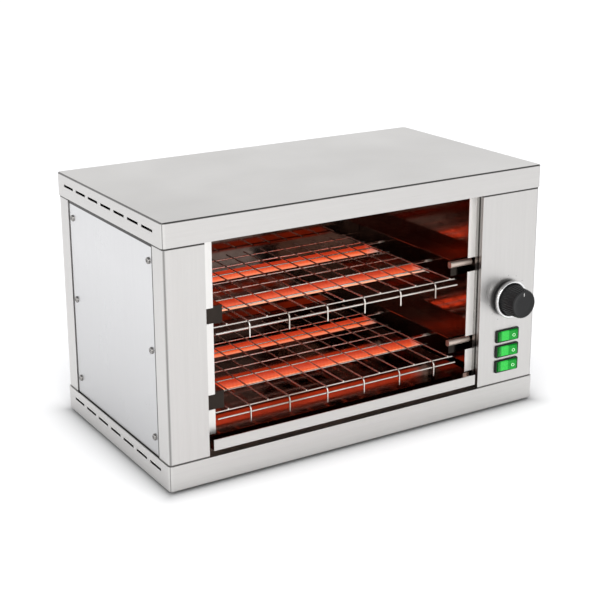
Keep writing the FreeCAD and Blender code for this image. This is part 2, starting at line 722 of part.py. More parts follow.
def make_cavity_sheets():
    """Back wall, ceiling and floor shield of the heated cavity."""
    node("cavity_back_wall", block(("wall_left", "wall_right"),
                                   ("cavity_back", "cavity_back + sheet"),
                                   ("shield_z - sheet", "side_high_z")))
    ceiling = block(("wall_left", "wall_right"), ("mouth_y + sheet", "cavity_back"),
                    ("ceiling_z", "ceiling_z + sheet"))
    hem = block(("mouth_left", "mouth_right"), ("mouth_y", "mouth_y + sheet"),
                ("ceiling_z", "side_high_z"))
    node("cavity_ceiling", join([ceiling, hem]))
    floor = block(("wall_left", "wall_right"), ("mouth_y + sheet", "cavity_back"),
                  ("shield_z - sheet", "shield_z"))
    apron = block(("wall_left", "wall_right"), ("mouth_y + sheet", "mouth_y + 2 * sheet"),
                  ("band_top_z", "shield_z"))
    node("floor_shield", join([floor, apron]))


def make_rail(name, deck, wall_x, inward, nosed):
    """Side rail: a folded channel with a closed front; a right rail has a round nose too."""
    plane = "%s_plane" % deck
    edge = "%s %s rail_width" % (wall_x, inward)
    web = "%s %s sheet" % (wall_x, inward)
    ledge = "%s - wire - slide_gap" % plane
    top = "%s + rail_rise" % plane
    points = [(edge, ledge + " - sheet"), (wall_x, ledge + " - sheet"), (wall_x, top),
              (edge, top), (edge, top + " - sheet"), (web, top + " - sheet"),
              (web, ledge), (edge, ledge)]
    span = ("rail_y", "cavity_back - rail_back_gap")
    channel = profile("XZ_Plane", points, span)
    ends = [wall_x, edge]
    x = tuple(ends if inward == "+" else reversed(ends))
    front = block(x, ("rail_y", "rail_y + sheet"), (plane + " + rack_room", top))
    pieces = [channel, front]
    if nosed:
        near = "%s %s nose_gap" % (wall_x, inward)
        far = "%s %s nose_length" % (near, inward)
        nose_x = (near, far) if inward == "+" else (far, near)
        pieces.append(rod("x", ("rail_y - nose_radius + sheet / 2", plane + " + nose_rise"),
                          nose_x, "nose_radius"))
    scallops = []
    for tube, y, z in tube_rows():
        if tube.startswith("lower" if deck == "lower" else "middle"):
            scallops.append(bar("x", (y, z), ("%s - sheet" % x[0], "%s + sheet" % x[1]),
                                "2 * (cap_radius + 5 * fit_gap)"))
    node(name, cut(join(pieces), scallops))


def make_tubes():
    """Six quartz tubes, each with its heating coil, and the ceramic ends in the liners."""
    start = "wall_left - sheet - tube_overhang"
    end = "wall_right + sheet + tube_overhang"
    left_ends = []
    right_ends = []
    for name, y, z in tube_rows():
        spot = (y, z)
        node("quartz_tube_" + name, cut(rod("x", spot, (start, end), "tube_radius"), [
            rod("x", spot, (start + " - sheet", end + " + sheet"), "tube_radius - tube_wall")]))
        node("heating_coil_" + name, join([
            bar("x", spot, ("wall_left + coil_inset", "wall_right - coil_inset"),
                "2 * coil_radius"),
            bar("x", spot, (start, end), "2 * lead_radius")]))
        for group, cap, bore in (
                (left_ends, (start + " - cap_end", "wall_left + cap_reach"),
                 (start, "wall_left + cap_reach + sheet")),
                (right_ends, ("wall_right - cap_reach", end + " + cap_end"),
                 ("wall_right - cap_reach - sheet", end))):
            group.append(cut(bar("x", spot, cap, "2 * cap_radius"),
                             [bar("x", spot, bore, "2 * (tube_radius + fit_gap)")]))
    node("left_tube_ends", together(left_ends))
    node("right_tube_ends", together(right_ends))


def turned_end(x, turn_y, high, low):
    """Return the end of a long wire that turns down at the rack's front."""
    body = doc.addObject("PartDesign::Body", "TurnedEnd")
    half = "wire / 2"
    nick = "wire / 2 * tan(22.5)"
    ring = []
    for u, v in ((half, nick), (nick, half)):
        ring += [(u, v)]
    corners = ring + [("-(%s)" % u, v) for u, v in reversed(ring)]
    corners += [("-(%s)" % u, "-(%s)" % v) for u, v in ring]
    corners += [(u, "-(%s)" % v) for u, v in reversed(ring)]
    section = outline(body, "XZ_Plane", [(u, "(%s) + (%s)" % (v, high)) for u, v in corners])
    section.setExpression("AttachmentOffset.Base.z", formula("-(%s)" % turn_y))
    short = "leg_bend * 0.59"
    spots = [(turn_y, high), ("rack_y + " + short, high), ("rack_y", "%s - %s" % (high, short)),
             ("rack_y", low)]
    path = route(body, "YZ_Plane", spots)
    pipe = body.newObject("PartDesign::AdditivePipe", "Wire")
    pipe.Profile = section
    pipe.Spine = (path, ["Edge%d" % number for number in range(1, len(spots))])
    pipe.Transition = "Right corner"
    place(body, x)
    return body


def make_rack(deck):
    """Wire rack: a flat grid, and the turned-down ends with the wire across the front."""
    plane = "%s_plane" % deck
    high = plane + " + wire / 2"
    low = plane + " - wire / 2"
    turn_y = "rack_y + leg_bend"
    ends = ("cavity_x - rack_half - left_overhang", "cavity_x + rack_half + right_overhang")
    places = []
    for index in range(int(SIZES["long_wire_count"])):
        places.append("cavity_x - rack_half + %d * long_wire_pitch" % index)
    wires = [bar("y", (x, high), (turn_y, "front_y + rack_back"), "wire") for x in places]
    cross = ["rack_y + leg_bend + wire"]
    for index in range(int(SIZES["cross_wire_count"])):
        cross.append("front_y + cross_wire_start + %d * cross_wire_pitch" % index)
    wires += [bar("x", (y, low), ends, "wire") for y in cross]
    node("%s_rack_grid" % deck, together(wires))
    guard = [turned_end(x, turn_y, high, plane + " - leg_drop") for x in places[1::2]]
    guard.append(bar("x", ("rack_y + wire / 2 + front_wire / 2", plane + " - guard_drop"),
                     ends, "front_wire"))
    node("%s_rack_guard" % deck, together(guard))


def make_crumb_tray():
    """Crumb tray: a shallow pan with a folded front bar that is open at its top."""
    x = ("wall_left + tray_side_gap", "wall_right - tray_side_gap")
    y = ("bar_back_y", "cavity_back - tray_back_gap")
    outside = block(x, y, ("tray_floor_z", "tray_rim_z"))
    inside = block((x[0] + " + tray_sheet", x[1] + " - tray_sheet"),
                   (y[0] + " + tray_sheet", y[1] + " - tray_sheet"),
                   ("tray_floor_z + tray_sheet", "tray_rim_z + sheet"))
    bar_x = ("post_right + bar_side_gap", "panel_left - bar_side_gap")
    bar = block(bar_x, ("front_y", "bar_back_y"), ("bar_low_z", "bar_top_z"))
    hollow = block((bar_x[0] + " - sheet", bar_x[1] + " + sheet"),
                   ("front_y + sheet", "bar_back_y - sheet"),
                   ("bar_low_z + sheet", "bar_top_z + sheet"))
    node("crumb_tray", join([cut(outside, [inside]), cut(bar, [hollow])]))


def revolved(points):
    """Return a body turned round the y axis, from radius and y of each corner."""
    body = doc.addObject("PartDesign::Body", "Turned")
    sketch = outline(body, "XY_Plane", points)
    turn = body.newObject("PartDesign::Revolution", "Turn")
    turn.Profile = sketch
    turn.ReferenceAxis = (sketch, ["V_Axis"])
    turn.Angle = 360
    doc.recompute()
    return body, turn


def make_knob():
    """Timer knob: a skirt and a tapered, ribbed grip with a bore for the shaft."""
    skirt_y = "knob_gap + skirt_height"
    skirt = rod("y", (0, 0), ("-(%s)" % skirt_y, "-(knob_gap)"), "skirt_radius")
    grip = doc.addObject("PartDesign::Body", "Grip")
    loft = grip.newObject("PartDesign::AdditiveLoft", "Taper")
    sections = []
    for radius, reach in (("knob_base_radius", skirt_y), ("knob_face_radius", "knob_reach + sheet")):
        points = []
        for index in range(2 * int(SIZES["rib_count"])):
            spoke = "(%s)" % radius if index % 2 else "(%s - rib_depth)" % radius
            angle = "(%d * 180 / rib_count)" % index
            points.append(("%s * cos%s" % (spoke, angle), "%s * sin%s" % (spoke, angle)))
        section = outline(grip, "XZ_Plane", points)
        section.setExpression("AttachmentOffset.Base.z", formula(reach))
        sections.append(section)
    loft.Profile = sections[0]
    loft.Sections = [sections[1]]
    loft.Ruled = True
    recess = rod("y", (0, 0), ("-(%s)" % skirt_y, "sheet"), "recess_radius")
    end = "-(%s + shaft_in_knob)" % skirt_y
    bore = rod("y", (0, 0), (end, "-(%s)" % skirt_y), "shaft_radius + fit_gap")
    knob = cut(join([skirt, grip]), [recess, bore])
    place(knob, "knob_x", "face_y", "knob_z")
    node("timer_knob", knob)


def make_knob_ring():
    """Bright ring that sits on the knob's skirt."""
    inner = "knob_base_radius + ring_gap"
    skirt = "-(knob_gap + skirt_height)"
    top = "-(knob_gap + skirt_height + ring_height)"
    points = [
        (inner, skirt), ("ring_radius - ring_chamfer", skirt),
        ("ring_radius", skirt + " - ring_chamfer"), ("ring_radius", top + " + ring_chamfer"),
        ("ring_radius - ring_chamfer", top), (inner, top),
    ]
    body, turn = revolved(points)
    place(body, "knob_x", "face_y", "knob_z")
    node("knob_ring", body)


def make_timer():
    """Timer behind the panel: its case with a threaded neck, its nut and its shaft."""
    spot = ("knob_x", "knob_z")
    half = "timer_width / 2"
    behind = "face_y + sheet"
    case = block(("knob_x - " + half, "knob_x + " + half), (behind, behind + " + timer_depth"),
                 ("knob_z - " + half, "knob_z + " + half))
    neck = rod("y", spot, ("face_y - bushing_reach", behind + " + sheet"), "bushing_radius")
    inside = behind + " + shaft_in_timer"
    bore = rod("y", spot, ("face_y - bushing_reach - sheet", inside),
               "shaft_radius + shaft_clearance")
    node("timer_body", cut(join([case, neck]), [bore]))
    node("timer_nut", cut(prism(6, "y", spot, ("face_y - nut_height", "face_y"), "nut_radius"), [
        rod("y", spot, ("face_y - 2 * nut_height", "face_y + sheet"),
            "bushing_radius + fit_gap")]))
    tip = "face_y - knob_gap - skirt_height - shaft_in_knob"
    node("timer_shaft", rod("y", spot, (tip, inside + " - fit_gap"), "shaft_radius"))


def make_switch(name, z):
    """Rocker switch: a housing with a bezel and a well, and the rocker on its pivot."""
    def around(length, height):
        x = ("switch_x - %s / 2" % length, "switch_x + %s / 2" % length)
        return x, ("%s - %s / 2" % (z, height), "%s + %s / 2" % (z, height))
    bezel_x, bezel_z = around("bezel_length", "bezel_height")
    neck_x, neck_z = around("neck_length", "neck_height")
    well_x, well_z = around("well_length", "well_height")
    bezel = block(bezel_x, ("face_y - bezel_thickness", "face_y"), bezel_z)
    neck = block(neck_x, ("face_y", "face_y + neck_depth"), neck_z)
    well = block(well_x, ("face_y - 2 * bezel_thickness", "face_y + well_depth"), well_z)
    node("switch_housing_" + name, cut(join([bezel, neck]), [well]))
    crest = "-(rocker_face / cos(rocker_throw / 2))"
    shoulder = crest + " - rocker_half * tan(rocker_throw / 2)"
    points = [
        (0, crest), ("rocker_half", shoulder), ("rocker_root_half", "rocker_root"),
        ("-(rocker_root_half)", "rocker_root"), ("-(rocker_half)", shoulder),
    ]
    body = doc.addObject("PartDesign::Body", "Rocker")
    sketch = outline(body, "XY_Plane", points)
    pad = body.newObject("PartDesign::Pad", "Pad")
    pad.Profile = sketch
    pad.Midplane = True
    pad.setExpression("Length", formula("rocker_height"))
    body.Placement = FreeCAD.Placement(Vector(), Rotation(Vector(0, 0, -1), 7))
    body.setExpression("Placement.Rotation.Angle", formula("rocker_throw / 2"))
    place(body, "switch_x", "face_y + pivot_depth", z)
    node("rocker_" + name, body)


def make_cable_gland():
    """Cable gland in the back panel with its lock nut, and the terminal block behind it."""
    spot = ("gland_x", "gland_z")
    collar = rod("y", spot, ("rear_y", "rear_y + gland_collar"), "gland_collar_radius")
    dome = rod("y", spot, ("rear_y + gland_collar", "back_y + gland_reach"), "gland_radius")
    inner_end = "rear_y - gland_thread"
    thread = rod("y", spot, (inner_end, "rear_y"), "gland_thread_radius")
    bore = rod("y", spot, (inner_end + " - sheet", "back_y + gland_reach + sheet"), "gland_bore")
    node("cable_gland", cut(join([collar, dome, thread]), [bore]))
    inner = "rear_y - sheet"
    node("gland_lock_nut", cut(
        prism(6, "y", spot, (inner + " - locknut_height", inner), "locknut_radius"),
        [rod("y", spot, (inner + " - 2 * locknut_height", "back_y"),
             "gland_thread_radius + fit_gap")]))


def make_terminal_block():
    """Terminal block on the base's floor, with one well for each conductor."""
    y = ("rear_y - terminal_back_gap - terminal_width", "rear_y - terminal_back_gap")
    x = ("gland_x - terminal_length / 2", "gland_x + terminal_length / 2")
    case = block(x, y, ("floor_z", "floor_z + terminal_height"))
    wells = []
    for index in range(3):
        centre = "gland_x + %d * terminal_length / 3" % (index - 1)
        wells.append(rod("z", (centre, "rear_y - terminal_back_gap - terminal_width / 2"),
                         ("floor_z + terminal_height / 2", "floor_z + 2 * terminal_height"),
                         "terminal_length / 12"))
    node("terminal_block", cut(case, wells))


def build():
    """Make every sub-part."""
    make_sheets()
    make_top_cover()
    make_base_tray()
    make_rubber_feet()
    make_left_front_post()
    make_control_panel()
    make_back_panel()
    make_side_panel("left_side_panel", "left_x + panel_set", "panel_back_left", SIDE_LEFT)
    make_side_panel("right_side_panel", "panel_back_right", "right_x - panel_set", SIDE_RIGHT)
    make_housing_screws()
    make_liner("left_liner", "wall_left", "mouth_left", "-")
    make_liner("right_liner", "wall_right", "mouth_right", "+")
    make_cavity_sheets()
    for deck in DECKS:
        make_rail("%s_left_rail" % deck, deck, "wall_left", "+", False)
        make_rail("%s_right_rail" % deck, deck, "wall_right", "-", True)
        make_rack(deck)
    make_tubes()
    make_crumb_tray()
    make_knob()
    make_knob_ring()
    make_timer()
    for index, name in enumerate(SWITCHES):
        make_switch(name, switch_z(index))
    make_cable_gland()
    make_terminal_block()


def check():
    """Stop if any object failed or any sub-part has no sound shape."""
    doc.recompute()
    for thing in doc.Objects:
        if "Invalid" in thing.State or "Error" in thing.State:
            raise RuntimeError("%s failed: %s" % (thing.Name, thing.State))
    for name, thing in nodes:
        if thing.Shape.isNull() or not thing.Shape.isValid() or not thing.Shape.Solids:
            raise RuntimeError("%s has no sound shape" % name)


def write():
    """Write each sub-part to its own file."""
    os.makedirs("parts", exist_ok=True)
    for name, thing in nodes:
        thing.Shape.exportStep("parts/%s.step" % name)


build()
check()
write()
print("%d sub-parts written" % len(nodes))
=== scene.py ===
"""Looks of a two-deck commercial toaster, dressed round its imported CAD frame.

All lengths are metres in the frame of the CAD part: x to the right, y to the back, z up.
"""

import json
import logging
import math
from collections.abc import Callable, Sequence
from dataclasses import dataclass, field
from enum import Enum

import bmesh
import bpy
from mathutils import Matrix, Vector

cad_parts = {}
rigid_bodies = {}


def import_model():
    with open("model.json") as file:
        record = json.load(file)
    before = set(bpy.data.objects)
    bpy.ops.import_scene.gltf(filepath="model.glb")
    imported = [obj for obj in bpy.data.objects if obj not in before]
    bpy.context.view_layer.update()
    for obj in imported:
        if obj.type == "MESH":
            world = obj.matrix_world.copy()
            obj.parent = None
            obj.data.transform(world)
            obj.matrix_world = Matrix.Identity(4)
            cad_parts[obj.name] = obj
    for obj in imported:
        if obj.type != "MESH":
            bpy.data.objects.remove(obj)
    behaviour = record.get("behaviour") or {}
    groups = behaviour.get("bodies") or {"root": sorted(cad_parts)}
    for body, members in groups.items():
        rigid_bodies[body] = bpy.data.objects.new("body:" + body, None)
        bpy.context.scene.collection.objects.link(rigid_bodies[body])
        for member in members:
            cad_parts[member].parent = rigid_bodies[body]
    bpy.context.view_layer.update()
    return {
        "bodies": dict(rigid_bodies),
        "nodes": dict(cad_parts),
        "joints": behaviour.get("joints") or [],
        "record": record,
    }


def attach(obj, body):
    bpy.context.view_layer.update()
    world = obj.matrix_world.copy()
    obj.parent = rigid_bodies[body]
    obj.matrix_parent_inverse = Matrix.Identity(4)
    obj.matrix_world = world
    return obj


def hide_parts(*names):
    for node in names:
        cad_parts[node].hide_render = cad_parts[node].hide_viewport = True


LOG = logging.getLogger("toaster")
MM = 0.001
# Farther out than any face of the toaster.
FAR = 1.0
# Corners closer together than this are one.
WELD = 1e-7
# Colour of the painted shade in the seams, gaps, laps and bends of the sheets.
SEAM_SHADE = (0.02, 0.018, 0.016, 1.0)
Colour = tuple[float, float, float]
Point = tuple[float, float, float]
Reach = tuple[float, float]


class Grain(Enum):
    """Direction in which a sheet was brushed, as the stretch of its noise along x, y and z."""

    ALONG_WIDTH = (14.0, 900.0, 900.0)
    UPRIGHT = (900.0, 900.0, 14.0)


class Deck(Enum):
    """The two toasting decks, named as in the CAD nodes."""

    LOWER = "lower"
    UPPER = "upper"


RACK_PLANES = {Deck.LOWER: 0.0658, Deck.UPPER: 0.1538}
SWITCH_HEIGHTS = {"lower": 0.0495, "middle": 0.0669, "upper": 0.0843}


class Sheet:
    """A node tree being drawn: it adds nodes, sets their sockets and links them."""

    def __init__(self, tree: bpy.types.NodeTree) -> None:
        """Start on a tree that may already hold nodes."""
        self.tree = tree

    def add(
        self, kind: str, inputs: dict | None = None, **settings: object
    ) -> bpy.types.Node:
        """Add a node.

        Args:
            kind: Blender's type name of the node.
            inputs: Value or source socket for each input, by name or index.
            settings: Node properties that are set before the inputs.

        Returns:
            The new node.
        """
        node = self.tree.nodes.new(kind)
        for name, value in settings.items():
            setattr(node, name, value)
        self.feed(node, inputs or {})
        return node

    def feed(self, node: bpy.types.Node, inputs: dict) -> None:
        """Set inputs of a node, by name or index, to values or to source sockets.

        Args:
            node: The node.
            inputs: Value or source socket for each input.
        """
        for key, value in inputs.items():
            socket = node.inputs[key]
            if isinstance(value, bpy.types.NodeSocket):
                self.tree.links.new(value, socket)
            else:
                socket.default_value = value

    def math(self, operation: str, first: object, second: object = 0.0) -> bpy.types.NodeSocket:
        """Return the result of a math node on two values or sockets."""
        kind = "ShaderNodeMath"
        return self.add(kind, {0: first, 1: second}, operation=operation).outputs[0]

    def vectors(self, operation: str, inputs: dict) -> bpy.types.NodeSocket:
        """Return the result of a vector math node on some inputs."""
        return self.add("ShaderNodeVectorMath", inputs, operation=operation).outputs[0]

    def parts(self, vector: bpy.types.NodeSocket) -> tuple[bpy.types.NodeSocket, ...]:
        """Return the sockets of a vector's x, y and z."""
        return tuple(self.add("ShaderNodeSeparateXYZ", {0: vector}).outputs)

    def weigh(
        self, first: object, first_weight: float, second: object, second_weight: float
    ) -> bpy.types.NodeSocket:
        """Return the sum of two sockets, each times its weight."""
        return self.math("ADD", self.math("MULTIPLY", first, first_weight),
                         self.math("MULTIPLY", second, second_weight))

    def span(
        self, value: object, low: float, high: float, first: float, last: float
    ) -> bpy.types.NodeSocket:
        """Return a value mapped and held from low..high to first..last."""
        node = self.add("ShaderNodeMapRange", {0: value, 1: low, 2: high, 3: first, 4: last})
        return node.outputs[0]

    def rise(self, value: object, low: float, high: float) -> bpy.types.NodeSocket:
        """Return a mask that is 0 up to low, 1 from high, and a ramp between them."""
        return self.span(value, low, high, 0.0, 1.0)

    def fall(self, value: object, low: float, high: float) -> bpy.types.NodeSocket:
        """Return a mask that is 1 up to low, 0 from high, and a ramp between them."""
        return self.span(value, low, high, 1.0, 0.0)

    def stretch(
        self, value: object, start: float, end: float, soft: float
    ) -> bpy.types.NodeSocket:
        """Return the mask of a stretch whose borders are ramps, soft to either side."""
        return self.math("MULTIPLY", self.rise(value, start - soft, start + soft),
                         self.fall(value, end - soft, end + soft))

    def between(self, mask: object, first: float, last: float) -> bpy.types.NodeSocket:
        """Return a value that is first where the mask is 0 and last where it is 1."""
        return self.span(mask, 0.0, 1.0, first, last)

    def blend(self, factor: object, first: object, second: object) -> bpy.types.NodeSocket:
        """Return a colour between two colours or colour sockets."""
        node = self.add("ShaderNodeMix", {0: factor, 6: first, 7: second}, data_type="RGBA")
        return node.outputs[2]

    def noise(
        self, vector: object, scale: float, detail: float, roughness: float
    ) -> bpy.types.NodeSocket:
        """Return the value of a noise texture read at a vector.

        Args:
            vector: Socket with the place to read at.
            scale: Waves to a unit of the vector.
            detail: Number of finer layers.
            roughness: Strength of each finer layer.

        Returns:
            The noise's socket.
        """
        node = self.add(
            "ShaderNodeTexNoise",
            {"Vector": vector, "Scale": scale, "Detail": detail, "Roughness": roughness},
        )
        return node.outputs[0]


def rgba(colour: Colour) -> tuple[float, float, float, float]:
    """Return a colour with full alpha."""
    return (*colour, 1.0)


def tone(colour: Colour, share: float, lift: float = 0.0) -> tuple[float, float, float, float]:
    """Return a darker or lighter tone of a colour, with full alpha."""
    return rgba(tuple(min(1.0, share * part + lift) for part in colour))


class Effects:
    """Shader node groups that several finishes share, each built once."""

    def __init__(self) -> None:
        """Build the groups."""
        self.brushed = self._group(
            "Brushed grain",
            [("Vector", "NodeSocketVector"), ("Stretch", "NodeSocketVector")],
            [("Shade", "NodeSocketFloat"), ("Height", "NodeSocketFloat")],
            self._draw_brushed,
        )
        self.smudge = self._group(
            "Handling marks",
            [("Vector", "NodeSocketVector"), ("To Metre", "NodeSocketFloat")],
            [("Mask", "NodeSocketFloat")],
            self._draw_smudge,
        )
        self.speckle = self._group(
            "Moulded grain",
            [("Vector", "NodeSocketVector"), ("To Metre", "NodeSocketFloat")],
            [("Mask", "NodeSocketFloat"), ("Height", "NodeSocketFloat")],
            self._draw_speckle,
        )
        self.tarnish = self._group(
            "Heat tarnish",
            [("Vector", "NodeSocketVector"), ("Clean", "NodeSocketColor"),
             ("Burnt", "NodeSocketColor")],
            [("Colour", "NodeSocketColor"), ("Mask", "NodeSocketFloat")],
            self._draw_tarnish,
        )
        self.seam = self._group(
            "Dark seam",
            [("Vector", "NodeSocketVector"), ("Low", "NodeSocketVector"),
             ("High", "NodeSocketVector"), ("Soft", "NodeSocketFloat"),
             ("Depth", "NodeSocketFloat")],
            [("Mask", "NodeSocketFloat")],
            self._draw_seam,
        )

    @staticmethod
    def _group(
        name: str,
        inputs: Sequence[tuple[str, str]],
        outputs: Sequence[tuple[str, str]],
        draw: Callable[[Sheet, bpy.types.Node, bpy.types.Node], None],
    ) -> bpy.types.NodeTree:
        """Make a node group.

        Args:
            name: Name of the group.
            inputs: Name and socket type of each input.
            outputs: Name and socket type of each output.
            draw: Function that fills the group between its input and output nodes.

        Returns:
            The group's node tree.
        """
        tree = bpy.data.node_groups.new(name, "ShaderNodeTree")
        for label, kind in inputs:
            tree.interface.new_socket(label, in_out="INPUT", socket_type=kind)
        for label, kind in outputs:
            tree.interface.new_socket(label, in_out="OUTPUT", socket_type=kind)
        sheet = Sheet(tree)
        draw(sheet, sheet.add("NodeGroupInput"), sheet.add("NodeGroupOutput"))
        return tree

    @staticmethod
    def _draw_brushed(
        sheet: Sheet, given: bpy.types.Node, result: bpy.types.Node
    ) -> None:
        """Draw long hairlines, with broader bands between them.

        Args:
            sheet: The node tree being drawn.
            given: The group's input node.
            result: The group's output node.
        """
        stretched = sheet.vectors(
            "MULTIPLY", {0: given.outputs["Vector"], 1: given.outputs["Stretch"]}
        )
        hair = sheet.noise(stretched, scale=3.0, detail=3.0, roughness=0.65)
        band = sheet.noise(stretched, scale=0.35, detail=2.0, roughness=0.5)
        shade = sheet.weigh(hair, 0.65, band, 0.35)
        sheet.feed(result, {"Shade": sheet.rise(shade, 0.3, 0.7), "Height": hair})

    @staticmethod
    def _scaled(sheet: Sheet, given: bpy.types.Node) -> bpy.types.NodeSocket:
        """Return the given vector in marks instead of metres.

        Args:
            sheet: The node tree being drawn.
            given: The group's input node.

        Returns:
            The scaled vector's socket.
        """
        return sheet.vectors(
            "SCALE", {0: given.outputs["Vector"], "Scale": given.outputs["To Metre"]}
        )

    @staticmethod
    def _draw_smudge(
        sheet: Sheet, given: bpy.types.Node, result: bpy.types.Node
    ) -> None:
        """Draw soft cloudy marks."""
        cloud = sheet.noise(Effects._scaled(sheet, given), scale=1.0, detail=4.0, roughness=0.55)
        sheet.feed(result, {"Mask": sheet.rise(cloud, 0.35, 0.7)})

    @staticmethod
    def _draw_speckle(
        sheet: Sheet, given: bpy.types.Node, result: bpy.types.Node
    ) -> None:
        """Draw the fine even grain of a moulded surface.

        Args:
            sheet: The node tree being drawn.
            given: The group's input node.
            result: The group's output node.
        """
        scaled = Effects._scaled(sheet, given)
        pits = sheet.add("ShaderNodeTexVoronoi", {"Vector": scaled, "Scale": 1.0})
        fine = sheet.noise(scaled, scale=0.6, detail=3.0, roughness=0.6)
        sheet.feed(result, {
            "Mask": sheet.rise(fine, 0.35, 0.65), "Height": pits.outputs["Distance"]})

    @staticmethod
    def _draw_tarnish(
        sheet: Sheet, given: bpy.types.Node, result: bpy.types.Node
    ) -> None:
        """Draw the uneven browning that heat leaves on steel.

        Args:
            sheet: The node tree being drawn.
            given: The group's input node.
            result: The group's output node.
        """
        broad = sheet.noise(given.outputs["Vector"], scale=16.0, detail=4.0, roughness=0.6)
        fine = sheet.noise(given.outputs["Vector"], scale=120.0, detail=3.0, roughness=0.6)
        mask = sheet.rise(sheet.weigh(broad, 0.75, fine, 0.25), 0.35, 0.65)
        colour = sheet.blend(mask, given.outputs["Clean"], given.outputs["Burnt"])
        sheet.feed(result, {"Colour": colour, "Mask": mask})

    @staticmethod
    def _draw_seam(
        sheet: Sheet, given: bpy.types.Node, result: bpy.types.Node
    ) -> None:
        """Mark the inside of a box, which lies along an edge or a gap, with soft borders: the mask
        where shade, and on the switch bezel a glow, is painted.

        Args:
            sheet: The node tree being drawn.
            given: The group's input node.
            result: The group's output node.
        """
        inside = None
        for first, second in (("Vector", "Low"), ("High", "Vector")):
            depth = sheet.vectors("SUBTRACT", {0: given.outputs[first], 1: given.outputs[second]})
            for part in sheet.parts(depth):
                inside = part if inside is None else sheet.math("MINIMUM", inside, part)
        held = sheet.rise(sheet.math("DIVIDE", inside, given.outputs["Soft"]), 0.0, 1.0)
        sheet.feed(result, {"Mask": sheet.math("MULTIPLY", held, given.outputs["Depth"])})


@dataclass(frozen=True)
class Seam:
    """Box along a bend, a gap or a lap of the sheets, where shade is painted into the colour."""

    x: Reach = (-FAR, FAR)
    y: Reach = (-FAR, FAR)
    z: Reach = (-FAR, FAR)
    depth: float = 0.8
    soft: float = 0.4 * MM


@dataclass(frozen=True)
class Finish:
    """A finish: its name, the effects it draws on, and the material it makes."""

    name: str
    effects: Effects

    def make(self) -> bpy.types.Material:
        """Return the finish's material, made at the first call.

        Returns:
            The material.
        """
        known = bpy.data.materials.get(self.name)
        if known is not None and known.get("finish"):
            return known
        material = bpy.data.materials.new(self.name)
        material["finish"] = True
        material.use_nodes = True
        sheet = Sheet(material.node_tree)
        shader = material.node_tree.nodes["Principled BSDF"]
        place = sheet.add("ShaderNodeTexCoord").outputs["Object"]
        self.draw(sheet, shader, place)
        return material

    def draw(
        self, sheet: Sheet, shader: bpy.types.Node, place: bpy.types.NodeSocket
    ) -> None:
        """Draw the finish's nodes. Each kind of finish has its own drawing.

        Args:
            sheet: The material's node tree.
            shader: Its Principled BSDF.
            place: Socket with the object coordinates.
        """
        raise NotImplementedError

    def group(
        self, sheet: Sheet, tree: bpy.types.NodeTree, inputs: dict
    ) -> bpy.types.Node:
        """Add one of the shared effects to the material."""
        return sheet.add("ShaderNodeGroup", inputs, node_tree=tree)

    def marks(
        self, sheet: Sheet, place: bpy.types.NodeSocket, to_metre: float
    ) -> bpy.types.NodeSocket:
        """Return the mask of soft cloudy marks, so many to a metre."""
        inputs = {"Vector": place, "To Metre": to_metre}
        return self.group(sheet, self.effects.smudge, inputs).outputs["Mask"]

    def seams(
        self, sheet: Sheet, place: bpy.types.NodeSocket, boxes: Sequence[Seam]
    ) -> bpy.types.NodeSocket:
        """Return the mask of some boxes, in which painted shade or painted glow goes.

        Args:
            sheet: The node tree being drawn.
            place: Socket with the object coordinates.
            boxes: The boxes, one or more.

        Returns:
            The mask's socket.
        """
        mask = None
        for box in boxes:
            node = self.group(sheet, self.effects.seam, {
                "Vector": place, "Low": (box.x[0], box.y[0], box.z[0]),
                "High": (box.x[1], box.y[1], box.z[1]), "Soft": box.soft, "Depth": box.depth})
            found = node.outputs["Mask"]
            mask = found if mask is None else sheet.math("MAXIMUM", mask, found)
        return mask

    def paint_seam_shade(
        self,
        sheet: Sheet,
        place: bpy.types.NodeSocket,
        colour: bpy.types.NodeSocket,
        boxes: Sequence[Seam],
    ) -> bpy.types.NodeSocket:
        """Return a colour with painted shade in the seams of some boxes.

        Args:
            sheet: The node tree being drawn.
            place: Socket with the object coordinates.
            colour: The colour's socket.
            boxes: The boxes, if any.

        Returns:
            The colour's socket.
        """
        if not boxes:
            return colour
        return sheet.blend(self.seams(sheet, place, boxes), colour, SEAM_SHADE)

    def bump(
        self,
        sheet: Sheet,
        shader: bpy.types.Node,
        height: bpy.types.NodeSocket,
        strength: float,
        distance: float,
    ) -> None:
        """Drive the shader's normal with a height.

        Args:
            sheet: The node tree being drawn.
            shader: The material's Principled BSDF.
            height: Socket with the height.
            strength: Share of the relief.
            distance: Height of the relief in metres.
        """
        node = sheet.add(
            "ShaderNodeBump", {"Height": height, "Strength": strength, "Distance": distance}
        )
        sheet.feed(shader, {"Normal": node.outputs["Normal"]})


